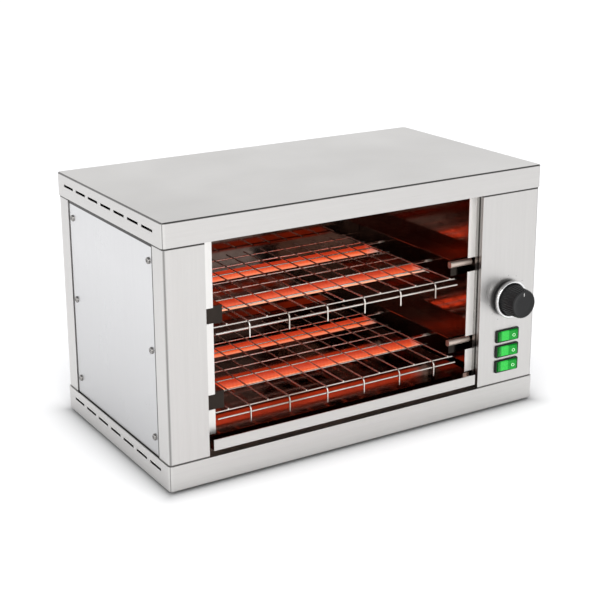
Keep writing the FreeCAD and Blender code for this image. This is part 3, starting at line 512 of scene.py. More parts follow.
@dataclass(frozen=True)
class BrushedSteel(Finish):
    """Brushed stainless sheet, which may have painted shade towards its foot and in its seams."""

    light: Colour = (0.6, 0.59, 0.577)
    dark: Colour = (0.55, 0.54, 0.528)
    grain: Grain = Grain.ALONG_WIDTH
    roughness: float = 0.34
    unevenness: float = 0.05
    relief: float = 0.06
    marks_to_metre: float = 9.0
    foot_shade: float = 1.0
    foot_shade_z: Reach = (0.02, 0.2)
    boxes: tuple[Seam, ...] = ()

    def draw(
        self, sheet: Sheet, shader: bpy.types.Node, place: bpy.types.NodeSocket
    ) -> None:
        """Draw hairlines, cloudy handling marks, a slight relief, and the painted shade.

        Args:
            sheet: The node tree being drawn.
            shader: The material's Principled BSDF.
            place: Socket with the object coordinates.
        """
        brushed = self.group(
            sheet, self.effects.brushed, {"Vector": place, "Stretch": self.grain.value}
        )
        shade = brushed.outputs["Shade"]
        colour = sheet.blend(shade, rgba(self.dark), rgba(self.light))
        # Painted shade: the colour darkens towards the foot, down to foot_shade of the dark tone.
        if self.foot_shade < 1.0:
            low = sheet.fall(sheet.parts(place)[2], *self.foot_shade_z)
            colour = sheet.blend(low, colour, tone(self.dark, self.foot_shade))
        marks = self.marks(sheet, place, self.marks_to_metre)
        uneven = sheet.weigh(marks, self.unevenness, shade, self.unevenness)
        sheet.feed(shader, {
            "Metallic": 1.0,
            "Base Color": self.paint_seam_shade(sheet, place, colour, self.boxes),
            "Roughness": sheet.math("ADD", uneven, self.roughness - self.unevenness),
        })
        self.bump(sheet, shader, brushed.outputs["Height"], self.relief, 0.1 * MM)


@dataclass(frozen=True)
class SmokedMirror(Finish):
    """Polished steel of the cavity, browned by heat, with a clean front lip."""

    clean: Colour = (0.3, 0.205, 0.17)
    burnt: Colour = (0.17, 0.105, 0.085)
    lip: Colour = (0.86, 0.85, 0.83)
    lip_grain: Grain = Grain.UPRIGHT
    lip_contrast: float = 0.93
    roughness: float = 0.05
    roughening: float = 0.1
    lip_roughness: float = 0.3
    lip_y: float | None = None
    lip_soft: float = 0.4 * MM
    boxes: tuple[Seam, ...] = ()

    def draw(
        self, sheet: Sheet, shader: bpy.types.Node, place: bpy.types.NodeSocket
    ) -> None:
        """Draw the browning, the painted seam shade, and the lip in front of lip_y.

        Args:
            sheet: The node tree being drawn.
            shader: The material's Principled BSDF.
            place: Socket with the object coordinates.
        """
        heat = self.group(sheet, self.effects.tarnish, {
            "Vector": place, "Clean": rgba(self.clean), "Burnt": rgba(self.burnt)})
        colour = self.paint_seam_shade(sheet, place, heat.outputs["Colour"], self.boxes)
        rough = sheet.between(
            heat.outputs["Mask"], self.roughness, self.roughness + self.roughening
        )
        if self.lip_y is not None:
            front = sheet.fall(sheet.parts(place)[1], self.lip_y, self.lip_y + self.lip_soft)
            brushed = self.group(sheet, self.effects.brushed, {
                "Vector": place, "Stretch": self.lip_grain.value})
            lip = sheet.blend(
                brushed.outputs["Shade"], rgba(self.lip), tone(self.lip, self.lip_contrast)
            )
            colour = sheet.blend(front, colour, lip)
            rough = sheet.math("ADD", rough, sheet.math("MULTIPLY", front, self.lip_roughness))
        sheet.feed(shader, {"Metallic": 1.0, "Base Color": colour, "Roughness": rough})


@dataclass(frozen=True)
class TarnishedSteel(Finish):
    """Steel of wires, coloured unevenly by heat."""

    clean: Colour
    burnt: Colour
    roughness: float
    metallic: float
    roughening: float = 0.12

    def draw(
        self, sheet: Sheet, shader: bpy.types.Node, place: bpy.types.NodeSocket
    ) -> None:
        """Draw the tarnish in colour and gloss.

        Args:
            sheet: The node tree being drawn.
            shader: The material's Principled BSDF.
            place: Socket with the object coordinates.
        """
        heat = self.group(sheet, self.effects.tarnish, {
            "Vector": place, "Clean": rgba(self.clean), "Burnt": rgba(self.burnt)})
        sheet.feed(shader, {
            "Metallic": self.metallic,
            "Base Color": heat.outputs["Colour"],
            "Roughness": sheet.between(
                heat.outputs["Mask"], self.roughness, self.roughness + self.roughening
            ),
        })


@dataclass(frozen=True)
class PolishedMetal(Finish):
    """Bright turned or plated metal."""

    colour: Colour = (0.8, 0.79, 0.77)
    worn: float = 0.86
    roughness: float = 0.12
    roughening: float = 0.1
    marks_to_metre: float = 260.0
    boxes: tuple[Seam, ...] = ()

    def draw(
        self, sheet: Sheet, shader: bpy.types.Node, place: bpy.types.NodeSocket
    ) -> None:
        """Draw faint wear in colour and gloss, and the painted seam shade.

        Args:
            sheet: The node tree being drawn.
            shader: The material's Principled BSDF.
            place: Socket with the object coordinates.
        """
        marks = self.marks(sheet, place, self.marks_to_metre)
        colour = sheet.blend(marks, rgba(self.colour), tone(self.colour, self.worn))
        sheet.feed(shader, {
            "Metallic": 1.0,
            "Base Color": self.paint_seam_shade(sheet, place, colour, self.boxes),
            "Roughness": sheet.between(marks, self.roughness, self.roughness + self.roughening),
        })


@dataclass(frozen=True)
class Moulded(Finish):
    """Moulded plastic, rubber, ink or fired ceramic with a fine grain."""

    colour: Colour
    roughness: float
    grains_to_metre: float
    relief: float
    sheen: float = 0.5
    paler: float = 1.18
    lift: float = 0.004
    roughening: float = 0.08

    def draw(
        self, sheet: Sheet, shader: bpy.types.Node, place: bpy.types.NodeSocket
    ) -> None:
        """Draw the grain in colour, gloss and relief.

        Args:
            sheet: The node tree being drawn.
            shader: The material's Principled BSDF.
            place: Socket with the object coordinates.
        """
        grain = self.group(
            sheet, self.effects.speckle, {"Vector": place, "To Metre": self.grains_to_metre}
        )
        mask = grain.outputs["Mask"]
        paler = tone(self.colour, self.paler, self.lift)
        sheet.feed(shader, {
            "Base Color": sheet.blend(mask, rgba(self.colour), paler),
            "Roughness": sheet.between(mask, self.roughness, self.roughness + self.roughening),
            "Specular IOR Level": self.sheen,
        })
        self.bump(sheet, shader, grain.outputs["Height"], self.relief, 0.2 * MM)


@dataclass(frozen=True)
class LampBezel(Moulded):
    """Black plastic of a switch, with a green glow painted on it round the rocker, where the lamp
    behind it spills light.
    """

    centre: tuple[float, float] = (0.0, 0.0)
    reach: tuple[float, float] = (14.5 * MM, 6.1 * MM)
    painted_glow: Colour = (0.0, 0.15, 0.012)

    def draw(
        self, sheet: Sheet, shader: bpy.types.Node, place: bpy.types.NodeSocket
    ) -> None:
        """Draw the moulded grain and the painted green glow near the rocker.

        Args:
            sheet: The node tree being drawn.
            shader: The material's Principled BSDF.
            place: Socket with the object coordinates.
        """
        super().draw(sheet, shader, place)
        (x, z), (wide, tall) = self.centre, self.reach
        # Painted glow: the plastic emits green in a soft box round the rocker.
        near = Seam(x=(x - wide, x + wide), z=(z - tall, z + tall), depth=1.0, soft=1.0 * MM)
        lit = sheet.blend(
            self.seams(sheet, place, (near,)), rgba((0.0, 0.0, 0.0)), rgba(self.painted_glow)
        )
        sheet.feed(shader, {"Emission Color": lit, "Emission Strength": 1.0})


@dataclass(frozen=True)
class HotQuartz(Finish):
    """Milky quartz tube that glows over its heated length, with a painted highlight, painted shade
    and painted glints.

    The pairs painted_shine_up, painted_top_shade_up and rim_up say how far up the glass faces,
    from -1 below to 1 above, where one tint gives way to another.
    """

    heat: Colour = (0.68, 0.085, 0.016)
    painted_top_shade: Colour = (0.33, 0.022, 0.005)
    painted_shine: Colour = (1.0, 0.48, 0.29)
    cast: Colour = (0.9, 0.085, 0.022)
    clear: Colour = (0.32, 0.26, 0.23)
    dim: Colour = (0.05, 0.035, 0.03)
    cold_milk: Colour = (0.8, 0.77, 0.74)
    hot_milk: Colour = (0.2, 0.05, 0.03)
    left: float = -0.1611
    right: float = 0.1311
    fade: float = 0.01
    painted_shine_up: Reach = (-0.35, 0.1)
    painted_top_shade_up: Reach = (0.15, 0.95)
    rim_up: Reach = (-1.0, -0.93)
    rows_y: Reach = (-0.02, 0.05)
    rear_painted_shine: float = 0.4
    coil_pitch: float = 0.0045
    ripple: float = 0.06
    unevenness: float = 0.22
    clouds_to_metre: float = 30.0
    glints_to_metre: float = 500.0
    strength: float = 1.0

    def draw(
        self, sheet: Sheet, shader: bpy.types.Node, place: bpy.types.NodeSocket
    ) -> None:
        """Draw the red glow between the cold ends, with a painted highlight on the lower side and
        painted shade towards the top; the cold ends get a faint painted glow in speckled glints.

        The light it casts on the steel is stronger than the glow that a camera's film holds.

        Args:
            sheet: The node tree being drawn.
            shader: The material's Principled BSDF.
            place: Socket with the object coordinates.
        """
        along, depth, _ = sheet.parts(place)
        up = sheet.parts(sheet.add("ShaderNodeTexCoord").outputs["Normal"])[2]
        turns = sheet.math("SINE", sheet.math("MULTIPLY", along, 2 * math.pi / self.coil_pitch))
        clouds = self.marks(sheet, place, self.clouds_to_metre)
        lively = sheet.weigh(turns, self.ripple, clouds, self.unevenness)
        height = sheet.math("ADD", up, lively)
        # Painted shade: the upper side of the glass turns a darker red.
        body = sheet.blend(sheet.rise(height, *self.painted_top_shade_up), rgba(self.heat), rgba(self.painted_top_shade))
        # Painted highlight on the lower side, full on the front row, weaker on the rear row, fading
        # off at the lowest edge.
        row = sheet.span(depth, *self.rows_y, 1.0, self.rear_painted_shine)
        below = sheet.math("MULTIPLY", sheet.fall(height, *self.painted_shine_up), row)
        rim = sheet.rise(height, *self.rim_up)
        tint = sheet.blend(sheet.math("MULTIPLY", below, rim), body, rgba(self.painted_shine))
        seen = sheet.add("ShaderNodeLightPath").outputs["Is Camera Ray"]
        tint = sheet.blend(seen, rgba(self.cast), tint)
        # Painted glints: the cold ends glow faintly in specks.
        painted_glints = self.marks(sheet, place, self.glints_to_metre)
        cold = sheet.blend(painted_glints, rgba(self.dim), rgba(self.clear))
        hot = sheet.stretch(along, self.left, self.right, self.fade)
        sheet.feed(shader, {
            "Base Color": sheet.blend(hot, rgba(self.cold_milk), rgba(self.hot_milk)),
            "Roughness": sheet.between(hot, 0.15, 0.3),
            "Specular IOR Level": 0.3,
            "Transmission Weight": 0.2,
            "Emission Color": sheet.blend(hot, cold, tint),
            "Emission Strength": self.strength,
        })


@dataclass(frozen=True)
class HotWire(Finish):
    """Resistance wire of a coil, glowing over its wound length."""

    bright: Colour = (1.0, 0.26, 0.1)
    dull: Colour = (0.9, 0.12, 0.04)
    pale_lead: Colour = (0.3, 0.28, 0.26)
    dark_lead: Colour = (0.18, 0.16, 0.15)
    left: float = -0.1581
    right: float = 0.1281
    fade: float = 0.003
    marks_to_metre: float = 60.0
    strength: float = 1.2

    def draw(
        self, sheet: Sheet, shader: bpy.types.Node, place: bpy.types.NodeSocket
    ) -> None:
        """Draw the glow between the leads, uneven along the wire.

        Args:
            sheet: The node tree being drawn.
            shader: The material's Principled BSDF.
            place: Socket with the object coordinates.
        """
        hot = sheet.stretch(sheet.parts(place)[0], self.left, self.right, self.fade)
        marks = self.marks(sheet, place, self.marks_to_metre)
        tint = sheet.blend(marks, rgba(self.dull), rgba(self.bright))
        sheet.feed(shader, {
            "Metallic": 1.0,
            "Base Color": sheet.blend(marks, rgba(self.pale_lead), rgba(self.dark_lead)),
            "Roughness": 0.45,
            "Emission Color": sheet.blend(hot, rgba((0.0, 0.0, 0.0)), tint),
            "Emission Strength": self.strength,
        })


@dataclass(frozen=True)
class LitRocker(Finish):
    """Green rocker, lit from inside, with a paler window at one end."""

    body: Colour = (0.0, 0.13, 0.01)
    glow: Colour = (0.0, 0.34, 0.025)
    window: Colour = (0.07, 1.0, 0.13)
    edge: Colour = (0.0, 0.05, 0.004)
    paler: float = 1.15
    grains_to_metre: float = 900.0
    window_left: float = 0.1774
    window_right: float = 0.1871
    window_soft: float = 0.0005
    rib_pitch: float = 0.0012
    rib_shade: float = 0.82
    face_left: float = 0.1750
    face_right: float = 0.1978
    left_rim: float = 0.0012
    right_rim: float = 0.003
    right_glow: float = 0.25

    def draw(
        self, sheet: Sheet, shader: bpy.types.Node, place: bpy.types.NodeSocket
    ) -> None:
        """Draw the window, the darker rim and the ribs that spread the lamp's light.

        Args:
            sheet: The node tree being drawn.
            shader: The material's Principled BSDF.
            place: Socket with the object coordinates.
        """
        across = sheet.parts(place)[0]
        window = sheet.stretch(across, self.window_left, self.window_right, self.window_soft)
        ribs = sheet.math("SINE", sheet.math("MULTIPLY", across, 2 * math.pi / self.rib_pitch))
        lens = sheet.math("MULTIPLY", window, sheet.span(ribs, -1.0, 1.0, self.rib_shade, 1.0))
        lamp = sheet.blend(lens, rgba(self.glow), rgba(self.window))
        left = sheet.rise(across, self.face_left, self.face_left + self.left_rim)
        right = sheet.span(
            across, self.face_right - self.right_rim, self.face_right, 1.0, self.right_glow
        )
        inside = sheet.math("MULTIPLY", left, right)
        grain = self.group(
            sheet, self.effects.speckle, {"Vector": place, "To Metre": self.grains_to_metre}
        ).outputs["Mask"]
        sheet.feed(shader, {
            "Base Color": sheet.blend(grain, rgba(self.body), tone(self.body, self.paler)),
            "Roughness": sheet.between(grain, 0.22, 0.3),
            "Specular IOR Level": 0.25,
            "Coat Weight": 0.15,
            "Emission Color": sheet.blend(inside, rgba(self.edge), lamp),
            "Emission Strength": 0.5,
        })


@dataclass(frozen=True)
class FloorPaint(Finish):
    """Pale matt floor of the studio, with a soft contact shade round the toaster's foot."""

    colour: Colour = (0.93, 0.93, 0.935)
    worn: float = 0.99
    marks_to_metre: float = 1.5
    contact: Colour = (0.1, 0.1, 0.1)
    contact_depth: float = 0.6
    half_width: float = 0.225
    half_depth: float = 0.125
    middle_y: float = 0.0025
    half_fade: float = 0.010

    def draw(
        self, sheet: Sheet, shader: bpy.types.Node, place: bpy.types.NodeSocket
    ) -> None:
        """Draw a barely uneven matt white and the shade, which halves with every half_fade.

        Args:
            sheet: The node tree being drawn.
            shader: The material's Principled BSDF.
            place: Socket with the object coordinates.
        """
        marks = self.marks(sheet, place, self.marks_to_metre)
        colour = sheet.blend(marks, rgba(self.colour), tone(self.colour, self.worn))
        across, depth, _ = sheet.parts(place)
        behind = sheet.math("SUBTRACT", depth, self.middle_y)
        squares = []
        for side, half in ((across, self.half_width), (behind, self.half_depth)):
            past = sheet.math("SUBTRACT", sheet.math("ABSOLUTE", side), half)
            squares.append(sheet.math("POWER", sheet.math("MAXIMUM", past, 0.0), 2.0))
        reach = sheet.math("SQRT", sheet.math("ADD", *squares))
        near = sheet.math("POWER", 0.5, sheet.math("DIVIDE", reach, self.half_fade))
        shade = sheet.math("MULTIPLY", near, self.contact_depth)
        sheet.feed(shader, {
            "Base Color": sheet.blend(shade, colour, rgba(self.contact)),
            "Roughness": 0.9,
            "Specular IOR Level": 0.1,
        })


def dress(node: bpy.types.Object, finish: Finish) -> None:
    """Give a CAD node a finish.

    Args:
        node: The CAD node.
        finish: Its finish, for every slot.
    """
    material = finish.make()
    if not node.data.materials:
        node.data.materials.append(material)
    for slot in node.material_slots:
        slot.material = material


def put(name: str, data: bpy.types.ID) -> bpy.types.Object:
    """Put a new object with its mesh, light or camera in the scene.

    Args:
        name: Name of the object.
        data: Its mesh, light or camera.

    Returns:
        The object.
    """
    thing = bpy.data.objects.new(name, data)
    bpy.context.scene.collection.objects.link(thing)
    return thing


def settle(form: bmesh.types.BMesh, mesh: bpy.types.Mesh) -> None:
    """Weld a closed form, turn its faces outward, write it to a mesh and free it.

    Args:
        form: The closed form, freed afterwards.
        mesh: Mesh that takes it.
    """
    bmesh.ops.remove_doubles(form, verts=form.verts, dist=WELD)
    bmesh.ops.recalc_face_normals(form, faces=form.faces)
    form.to_mesh(mesh)
    form.free()


def solid(
    name: str, form: bmesh.types.BMesh, finish: Finish, smooth: bool = True
) -> bpy.types.Object:
    """Turn a bmesh into an object in the scene.

    Args:
        name: Name of the piece.
        form: The closed form, freed afterwards.
        finish: Finish of the piece.
        smooth: Whether its faces are shaded smooth up to 35 degrees.

    Returns:
        The piece.
    """
    mesh = bpy.data.meshes.new(name)
    settle(form, mesh)
    mesh.materials.append(finish.make())
    if smooth:
        mesh.shade_smooth()
        mesh.set_sharp_from_angle(angle=math.radians(35))
    return put(name, mesh)


def skin(form: bmesh.types.BMesh, loops: Sequence[list[bmesh.types.BMVert]]) -> None:
    """Add the faces between loops that follow each other. A loop may be a single corner.

    Args:
        form: Form that holds the loops.
        loops: Corners of each loop, all in the same order round.
    """
    for first, second in zip(loops, loops[1:]):
        steps = max(len(first), len(second))
        for step in range(steps):
            after = (step + 1) % steps
            corners = [first[step % len(first)], first[after % len(first)],
                       second[after % len(second)], second[step % len(second)]]
            unique = list(dict.fromkeys(corners))
            if len(unique) > 2:
                form.faces.new(unique)


def lathe(
    outline: Sequence[tuple[float, float]],
    axis: tuple[float, float],
    start: float,
    toward: float,
    steps: int,
    ribs: Callable[[float, int], float] | None = None,
) -> bmesh.types.BMesh:
    """Turn an outline round an axis that runs along y.

    Args:
        outline: Radius and reach of each corner, from the axis back to the axis.
        axis: x and z of the axis.
        start: y where the reach is zero.
        toward: -1 if the reach counts to the front, +1 if it counts to the back.
        steps: Number of steps round the axis.
        ribs: Radius to take away at an angle, for a corner number.

    Returns:
        A closed form.
    """
    form = bmesh.new()
    rings = []
    for number, (radius, reach) in enumerate(outline):
        y = start + toward * reach
        if radius < WELD:
            rings.append([form.verts.new((axis[0], y, axis[1]))])
            continue
        ring = []
        for step in range(steps):
            angle = 2 * math.pi * step / steps
            distance = radius - (ribs(angle, number) if ribs else 0.0)
            ring.append(form.verts.new((axis[0] + distance * math.cos(angle), y,
                                        axis[1] + distance * math.sin(angle))))
        rings.append(ring)
    skin(form, rings)
    return form


def rounded_box(low: Point, high: Point, radius: float, rounds: int = 3) -> bmesh.types.BMesh:
    """Return a box between two corners with all its edges rounded.

    Args:
        low: Corner with the lowest x, y and z.
        high: Corner with the highest x, y and z.
        radius: Radius of the edges.
        rounds: Steps round an edge.

    Returns:
        A closed form.
    """
    form = bmesh.new()
    bmesh.ops.create_cube(form, size=1.0)
    size = Vector(high) - Vector(low)
    middle = (Vector(high) + Vector(low)) / 2
    bmesh.ops.transform(form, matrix=Matrix.Translation(middle) @ Matrix.Diagonal((*size, 1.0)),
                        verts=form.verts)
    bmesh.ops.bevel(form, geom=form.edges[:], offset=radius, segments=rounds, profile=0.5,
                    affect="EDGES")
    return form


class Pattern:
    """A Geometry Nodes tree with named inputs, and the plain meshes it makes."""

    def __init__(self, name: str, inputs: dict[str, str]) -> None:
        """Make the tree.

        Args:
            name: Name of the tree.
            inputs: Socket type of each named input, beside the geometry.
        """
        self.tree = bpy.data.node_groups.new(name, "GeometryNodeTree")
        face = self.tree.interface
        face.new_socket("Geometry", in_out="INPUT", socket_type="NodeSocketGeometry")
        self.keys = {}
        for label, kind in inputs.items():
            socket = face.new_socket(label, in_out="INPUT", socket_type=kind)
            self.keys[label] = socket.identifier
        face.new_socket("Geometry", in_out="OUTPUT", socket_type="NodeSocketGeometry")
        self.sheet = Sheet(self.tree)
        self.given = self.sheet.add("NodeGroupInput")
        self.result = self.sheet.add("NodeGroupOutput")

    def value(self, label: str) -> bpy.types.NodeSocket:
        """Return the socket of a named input."""
        return self.given.outputs[label]

    def vector(self, x: object = 0.0, y: object = 0.0, z: object = 0.0) -> bpy.types.NodeSocket:
        """Return a vector made of three values or sockets."""
        return self.sheet.add("ShaderNodeCombineXYZ", {0: x, 1: y, 2: z}).outputs[0]

    def wire(
        self, curve: bpy.types.NodeSocket, radius: object, sides: int
    ) -> bpy.types.NodeSocket:
        """Return a round wire along a curve, closed at its ends.

        Args:
            curve: Socket with the curve.
            radius: Radius of the wire.
            sides: Steps round the wire.

        Returns:
            The wire's socket.
        """
        ring = self.sheet.add(
            "GeometryNodeCurvePrimitiveCircle", {"Resolution": sides, "Radius": radius}
        )
        return self.sheet.add(
            "GeometryNodeCurveToMesh",
            {"Curve": curve, "Profile Curve": ring.outputs["Curve"], "Fill Caps": True},
        ).outputs["Mesh"]

    def row(
        self, shape: object, count: object, first: object, step: object
    ) -> bpy.types.NodeSocket:
        """Return a shape repeated in a row.

        Args:
            shape: Socket with the geometry to repeat.
            count: Number of copies.
            first: Place of the first copy.
            step: Offset from one copy to the next.

        Returns:
            The instances' socket.
        """
        line = self.sheet.add(
            "GeometryNodeMeshLine", {"Count": count, "Start Location": first, "Offset": step}
        )
        return self.sheet.add(
            "GeometryNodeInstanceOnPoints",
            {"Points": line.outputs["Mesh"], "Instance": shape},
        ).outputs["Instances"]

    def join(self, parts: Sequence[bpy.types.NodeSocket]) -> bpy.types.NodeSocket:
        """Return several geometries as one.

        Args:
            parts: Sockets with the geometries.

        Returns:
            The socket of them all.
        """
        node = self.sheet.add("GeometryNodeJoinGeometry")
        for part in parts:
            self.sheet.feed(node, {0: part})
        return node.outputs[0]

    def finish(self, shape: bpy.types.NodeSocket, material: bpy.types.Material) -> None:
        """End the tree with real geometry, smooth shading and a material.

        Args:
            shape: Socket with the geometry.
            material: Material of the piece.
        """
        real = self.sheet.add("GeometryNodeRealizeInstances", {0: shape}).outputs[0]
        smooth = self.sheet.add("GeometryNodeSetShadeSmooth", {0: real}).outputs[0]
        painted = self.sheet.add("GeometryNodeSetMaterial", {0: smooth, "Material": material})
        self.sheet.feed(self.result, {0: painted.outputs[0]})

    def grow(self, name: str, seed: bpy.types.Mesh, values: dict[str, object]) -> bpy.types.Object:
        """Run the tree on a mesh and return a plain object.

        Args:
            name: Name of the piece.
            seed: Mesh that enters the tree.
            values: Value of each named input.

        Returns:
            The piece, with no modifier left.
        """
        carrier = put(name + "_carrier", seed)
        modifier = carrier.modifiers.new(self.tree.name, "NODES")
        modifier.node_group = self.tree
        for label, value in values.items():
            modifier[self.keys[label]] = value
        carrier.update_tag()
        evaluated = carrier.evaluated_get(bpy.context.evaluated_depsgraph_get())
        mesh = bpy.data.meshes.new_from_object(evaluated)
        carrier.modifiers.clear()
        bpy.data.objects.remove(carrier)
        form = bmesh.new()
        form.from_mesh(mesh)
        settle(form, mesh)
        mesh.name = name
        mesh.set_sharp_from_angle(angle=math.radians(40))
        return put(name, mesh)


def spots(
    name: str, points: Sequence[Point], edges: Sequence[tuple[int, int]] = ()
) -> bpy.types.Mesh:
    """Return a mesh of points, loose or with some edges between them.

    Args:
        name: Name of the mesh.
        points: Its points.
        edges: Numbers of the two points of each edge.

    Returns:
        The mesh.
    """
    mesh = bpy.data.meshes.new(name)
    mesh.from_pydata(points, list(edges), [])
    return mesh


def route(name: str, points: Sequence[Point]) -> bpy.types.Mesh:
    """Return a mesh of edges through some points."""
    return spots(name, points, [(number, number + 1) for number in range(len(points) - 1)])


@dataclass
class Housing:
    """Folded steel housing: cover, base, posts, side and back panels, and their screws."""

    effects: Effects
    nodes: dict[str, bpy.types.Object]
    left: float = -0.225
    right: float = 0.225
    front: float = -0.1225
    rear: float = 0.1275
    foot: float = 0.003
    base_top: float = 0.0295
    cover_foot: float = 0.2455
    top: float = 0.27
    # panel_front to bend_soft place and size the painted shade along gaps, flanges, laps and bends.
    panel_front: float = -0.0949
    panel_rear: float = 0.1005
    panel_top: float = 0.2408
    flange_y: Reach = (-0.0991, -0.07)
    mouth_edge: Reach = (0.1468, 0.1484)
    mouth_gap: Reach = (-0.1174, -0.1144)
    seam: float = 1.6 * MM
    foot_seam: float = 0.7 * MM
    lap: float = 2.2 * MM
    panel_gap: float = 1.4 * MM
    bend_width: float = 3.8 * MM
    bend_depth: float = 3.2 * MM
    bend_soft: float = 1.2 * MM
    head_radius: float = 3.4 * MM
    head_height: float = 2.0 * MM
    recess_half: float = 0.32 * MM
    recess_reach: float = 1.7 * MM
    recess_depth: float = 1.1 * MM
    recess_taper: float = 0.7
    left_face: float = -0.223
    right_face: float = 0.223
    rear_face: float = 0.1265
    side_rows: tuple[float, float] = (-0.0885, 0.0935)
    side_levels: tuple[float, float, float] = (0.0485, 0.1375, 0.2265)
    back_columns: tuple[float, float] = (-0.1871, 0.1571)
    back_levels: tuple[float, float] = (0.0485, 0.2265)

    def strips(self, low: float, high: float) -> tuple[Reach, Reach]:
        """Return the strips, one seam wide, that lie inside two opposite faces."""
        return (low - MM, low + self.seam), (high - self.seam, high + MM)

    def cover_bend_shade(self) -> list[Seam]:
        """Return the painted shade lines along the cover's upper bends.

        Returns:
            The seams.
        """
        above = (self.top - self.seam, FAR)
        front, _ = self.strips(self.front, self.rear)
        sides = self.strips(self.left, self.right)
        return [Seam(y=front, z=above, depth=0.85),
                *(Seam(x=side, z=above, depth=0.75) for side in sides)]

    def post_painted_shade(self) -> list[Seam]:
        """Return the painted shade lines of the posts: bends, laps, inner flange and mouth.

        Returns:
            The seams.
        """
        bent = (-FAR, self.front + self.bend_depth)
        bends = [Seam(x=side, y=bent, depth=0.6, soft=self.bend_soft)
                 for side in ((-FAR, self.left + self.bend_width),
                              (self.right - self.bend_width, FAR))]
        # Painted shade on the inner flange, in the gap at the mouth's edge and on the flange beside
        # it.
        flange = Seam(y=self.flange_y, depth=0.97)
        mouth = Seam(x=self.mouth_edge, y=self.mouth_gap, depth=0.98, soft=0.2 * MM)
        inside = Seam(x=self.mouth_edge, y=(self.front + 1.2 * MM, 0.0), depth=0.5,
                      soft=0.3 * MM)
        return [*bends, *self.lap_shade(), flange, mouth, inside]

    def lap_shade(self) -> list[Seam]:
        """Return the painted shade lines where a sheet runs behind the base and the cover."""
        return [Seam(z=(-FAR, self.base_top + self.seam)),
                Seam(z=(self.cover_foot - self.lap, FAR), depth=0.92)]

    def panel_gap_shade(self) -> list[Seam]:
        """Return the painted shade round a side panel, dark lines that look like gaps along its
        edges.

        Returns:
            The seams.
        """
        return [Seam(z=(self.panel_top, FAR), depth=0.97),
                Seam(z=(-FAR, self.base_top + self.panel_gap)),
                Seam(y=(-FAR, self.panel_front), depth=0.95),
                Seam(y=(self.panel_rear, FAR), depth=0.7)]

    def dress_sheets(self) -> None:
        """Give each sheet the brushed steel of its grain direction, with its painted shade, and the
        feet their rubber.
        """
        # Painted shade along the upright corners, and along the foot under the base.
        corners = [Seam(x=side, y=end, depth=0.85)
                   for side in self.strips(self.left, self.right)
                   for end in self.strips(self.front, self.rear)]
        under = Seam(z=(-FAR, self.foot + self.foot_seam), depth=0.7)
        cover = BrushedSteel("cover_grain", self.effects, boxes=(*corners, *self.cover_bend_shade()))
        base = BrushedSteel("base_grain", self.effects, boxes=(*corners, under))
        upright = BrushedSteel("upright_grain", self.effects, grain=Grain.UPRIGHT,
                               boxes=tuple(self.post_painted_shade()))
        side = BrushedSteel("side_grain", self.effects, light=(0.65, 0.65, 0.655),
                            dark=(0.61, 0.61, 0.615), grain=Grain.UPRIGHT, roughness=0.3,
                            foot_shade=0.78, boxes=tuple(self.panel_gap_shade()))
        back = BrushedSteel("back_grain", self.effects, grain=Grain.UPRIGHT,
                            boxes=tuple(self.lap_shade()))
        rubber = Moulded("foot_rubber_grain", self.effects, colour=(0.02, 0.02, 0.02),
                         roughness=0.75, grains_to_metre=1400.0, relief=0.4)
        finishes = {
            "top_cover": cover, "base_tray": base, "back_panel": back,
            "left_front_post": upright, "control_panel": upright,
            "left_side_panel": side, "right_side_panel": side, "rubber_feet": rubber,
        }
        for name, finish in finishes.items():
            dress(self.nodes[name], finish)

    def head_loops(self, form: bmesh.types.BMesh, steps: int) -> list[list[bmesh.types.BMVert]]:
        """Add the corners of a pan head, loop after loop from its rim to its crown.

        Args:
            form: Form that takes the corners.
            steps: Number of steps round.

        Returns:
            The corners of each loop.
        """
        crown = 1.05
        rings = [(self.head_radius, 0.0)]
        for angle in (0.0, 0.35, 0.7, crown):
            radius = self.head_radius * math.cos(angle) ** 0.6
            height = self.head_height * (0.3 + 0.7 * math.sin(angle) / math.sin(crown))
            rings.append((radius, height))
        turns = [2 * math.pi * step / steps for step in range(steps)]
        return [[form.verts.new((radius * math.cos(turn), radius * math.sin(turn), height))
                 for turn in turns] for radius, height in rings]

    def screw_head(self, finish: Finish) -> bpy.types.Object:
        """Return one pan head with a cross recess, lying at the origin and facing +z.

        Args:
            finish: Finish of the head.

        Returns:
            The head.
        """
        form = bmesh.new()
        steps = 32
        loops = self.head_loops(form, steps)
        skin(form, loops)
        form.faces.new(list(reversed(loops[0])))
        half = self.recess_half
        arm = [(half, self.recess_reach), (-half, self.recess_reach), (-half, half)]
        rim = []
        for _ in range(4):
            rim += arm
            arm = [(-y, x) for x, y in arm]
        top = [form.verts.new((x, y, self.head_height)) for x, y in rim]
        floor = [form.verts.new((self.recess_taper * x, self.recess_taper * y,
                                 self.head_height - self.recess_depth)) for x, y in rim]
        skin(form, [top, floor])
        form.faces.new(floor)
        crown = [form.edges.get((loops[-1][step], loops[-1][(step + 1) % steps]))
                 for step in range(steps)]
        slot = [form.edges.get((top[step], top[(step + 1) % len(top)])) for step in range(len(top))]
        bmesh.ops.triangle_fill(form, edges=crown + slot, use_beauty=True)
        return solid("screw_head_model", form, finish)

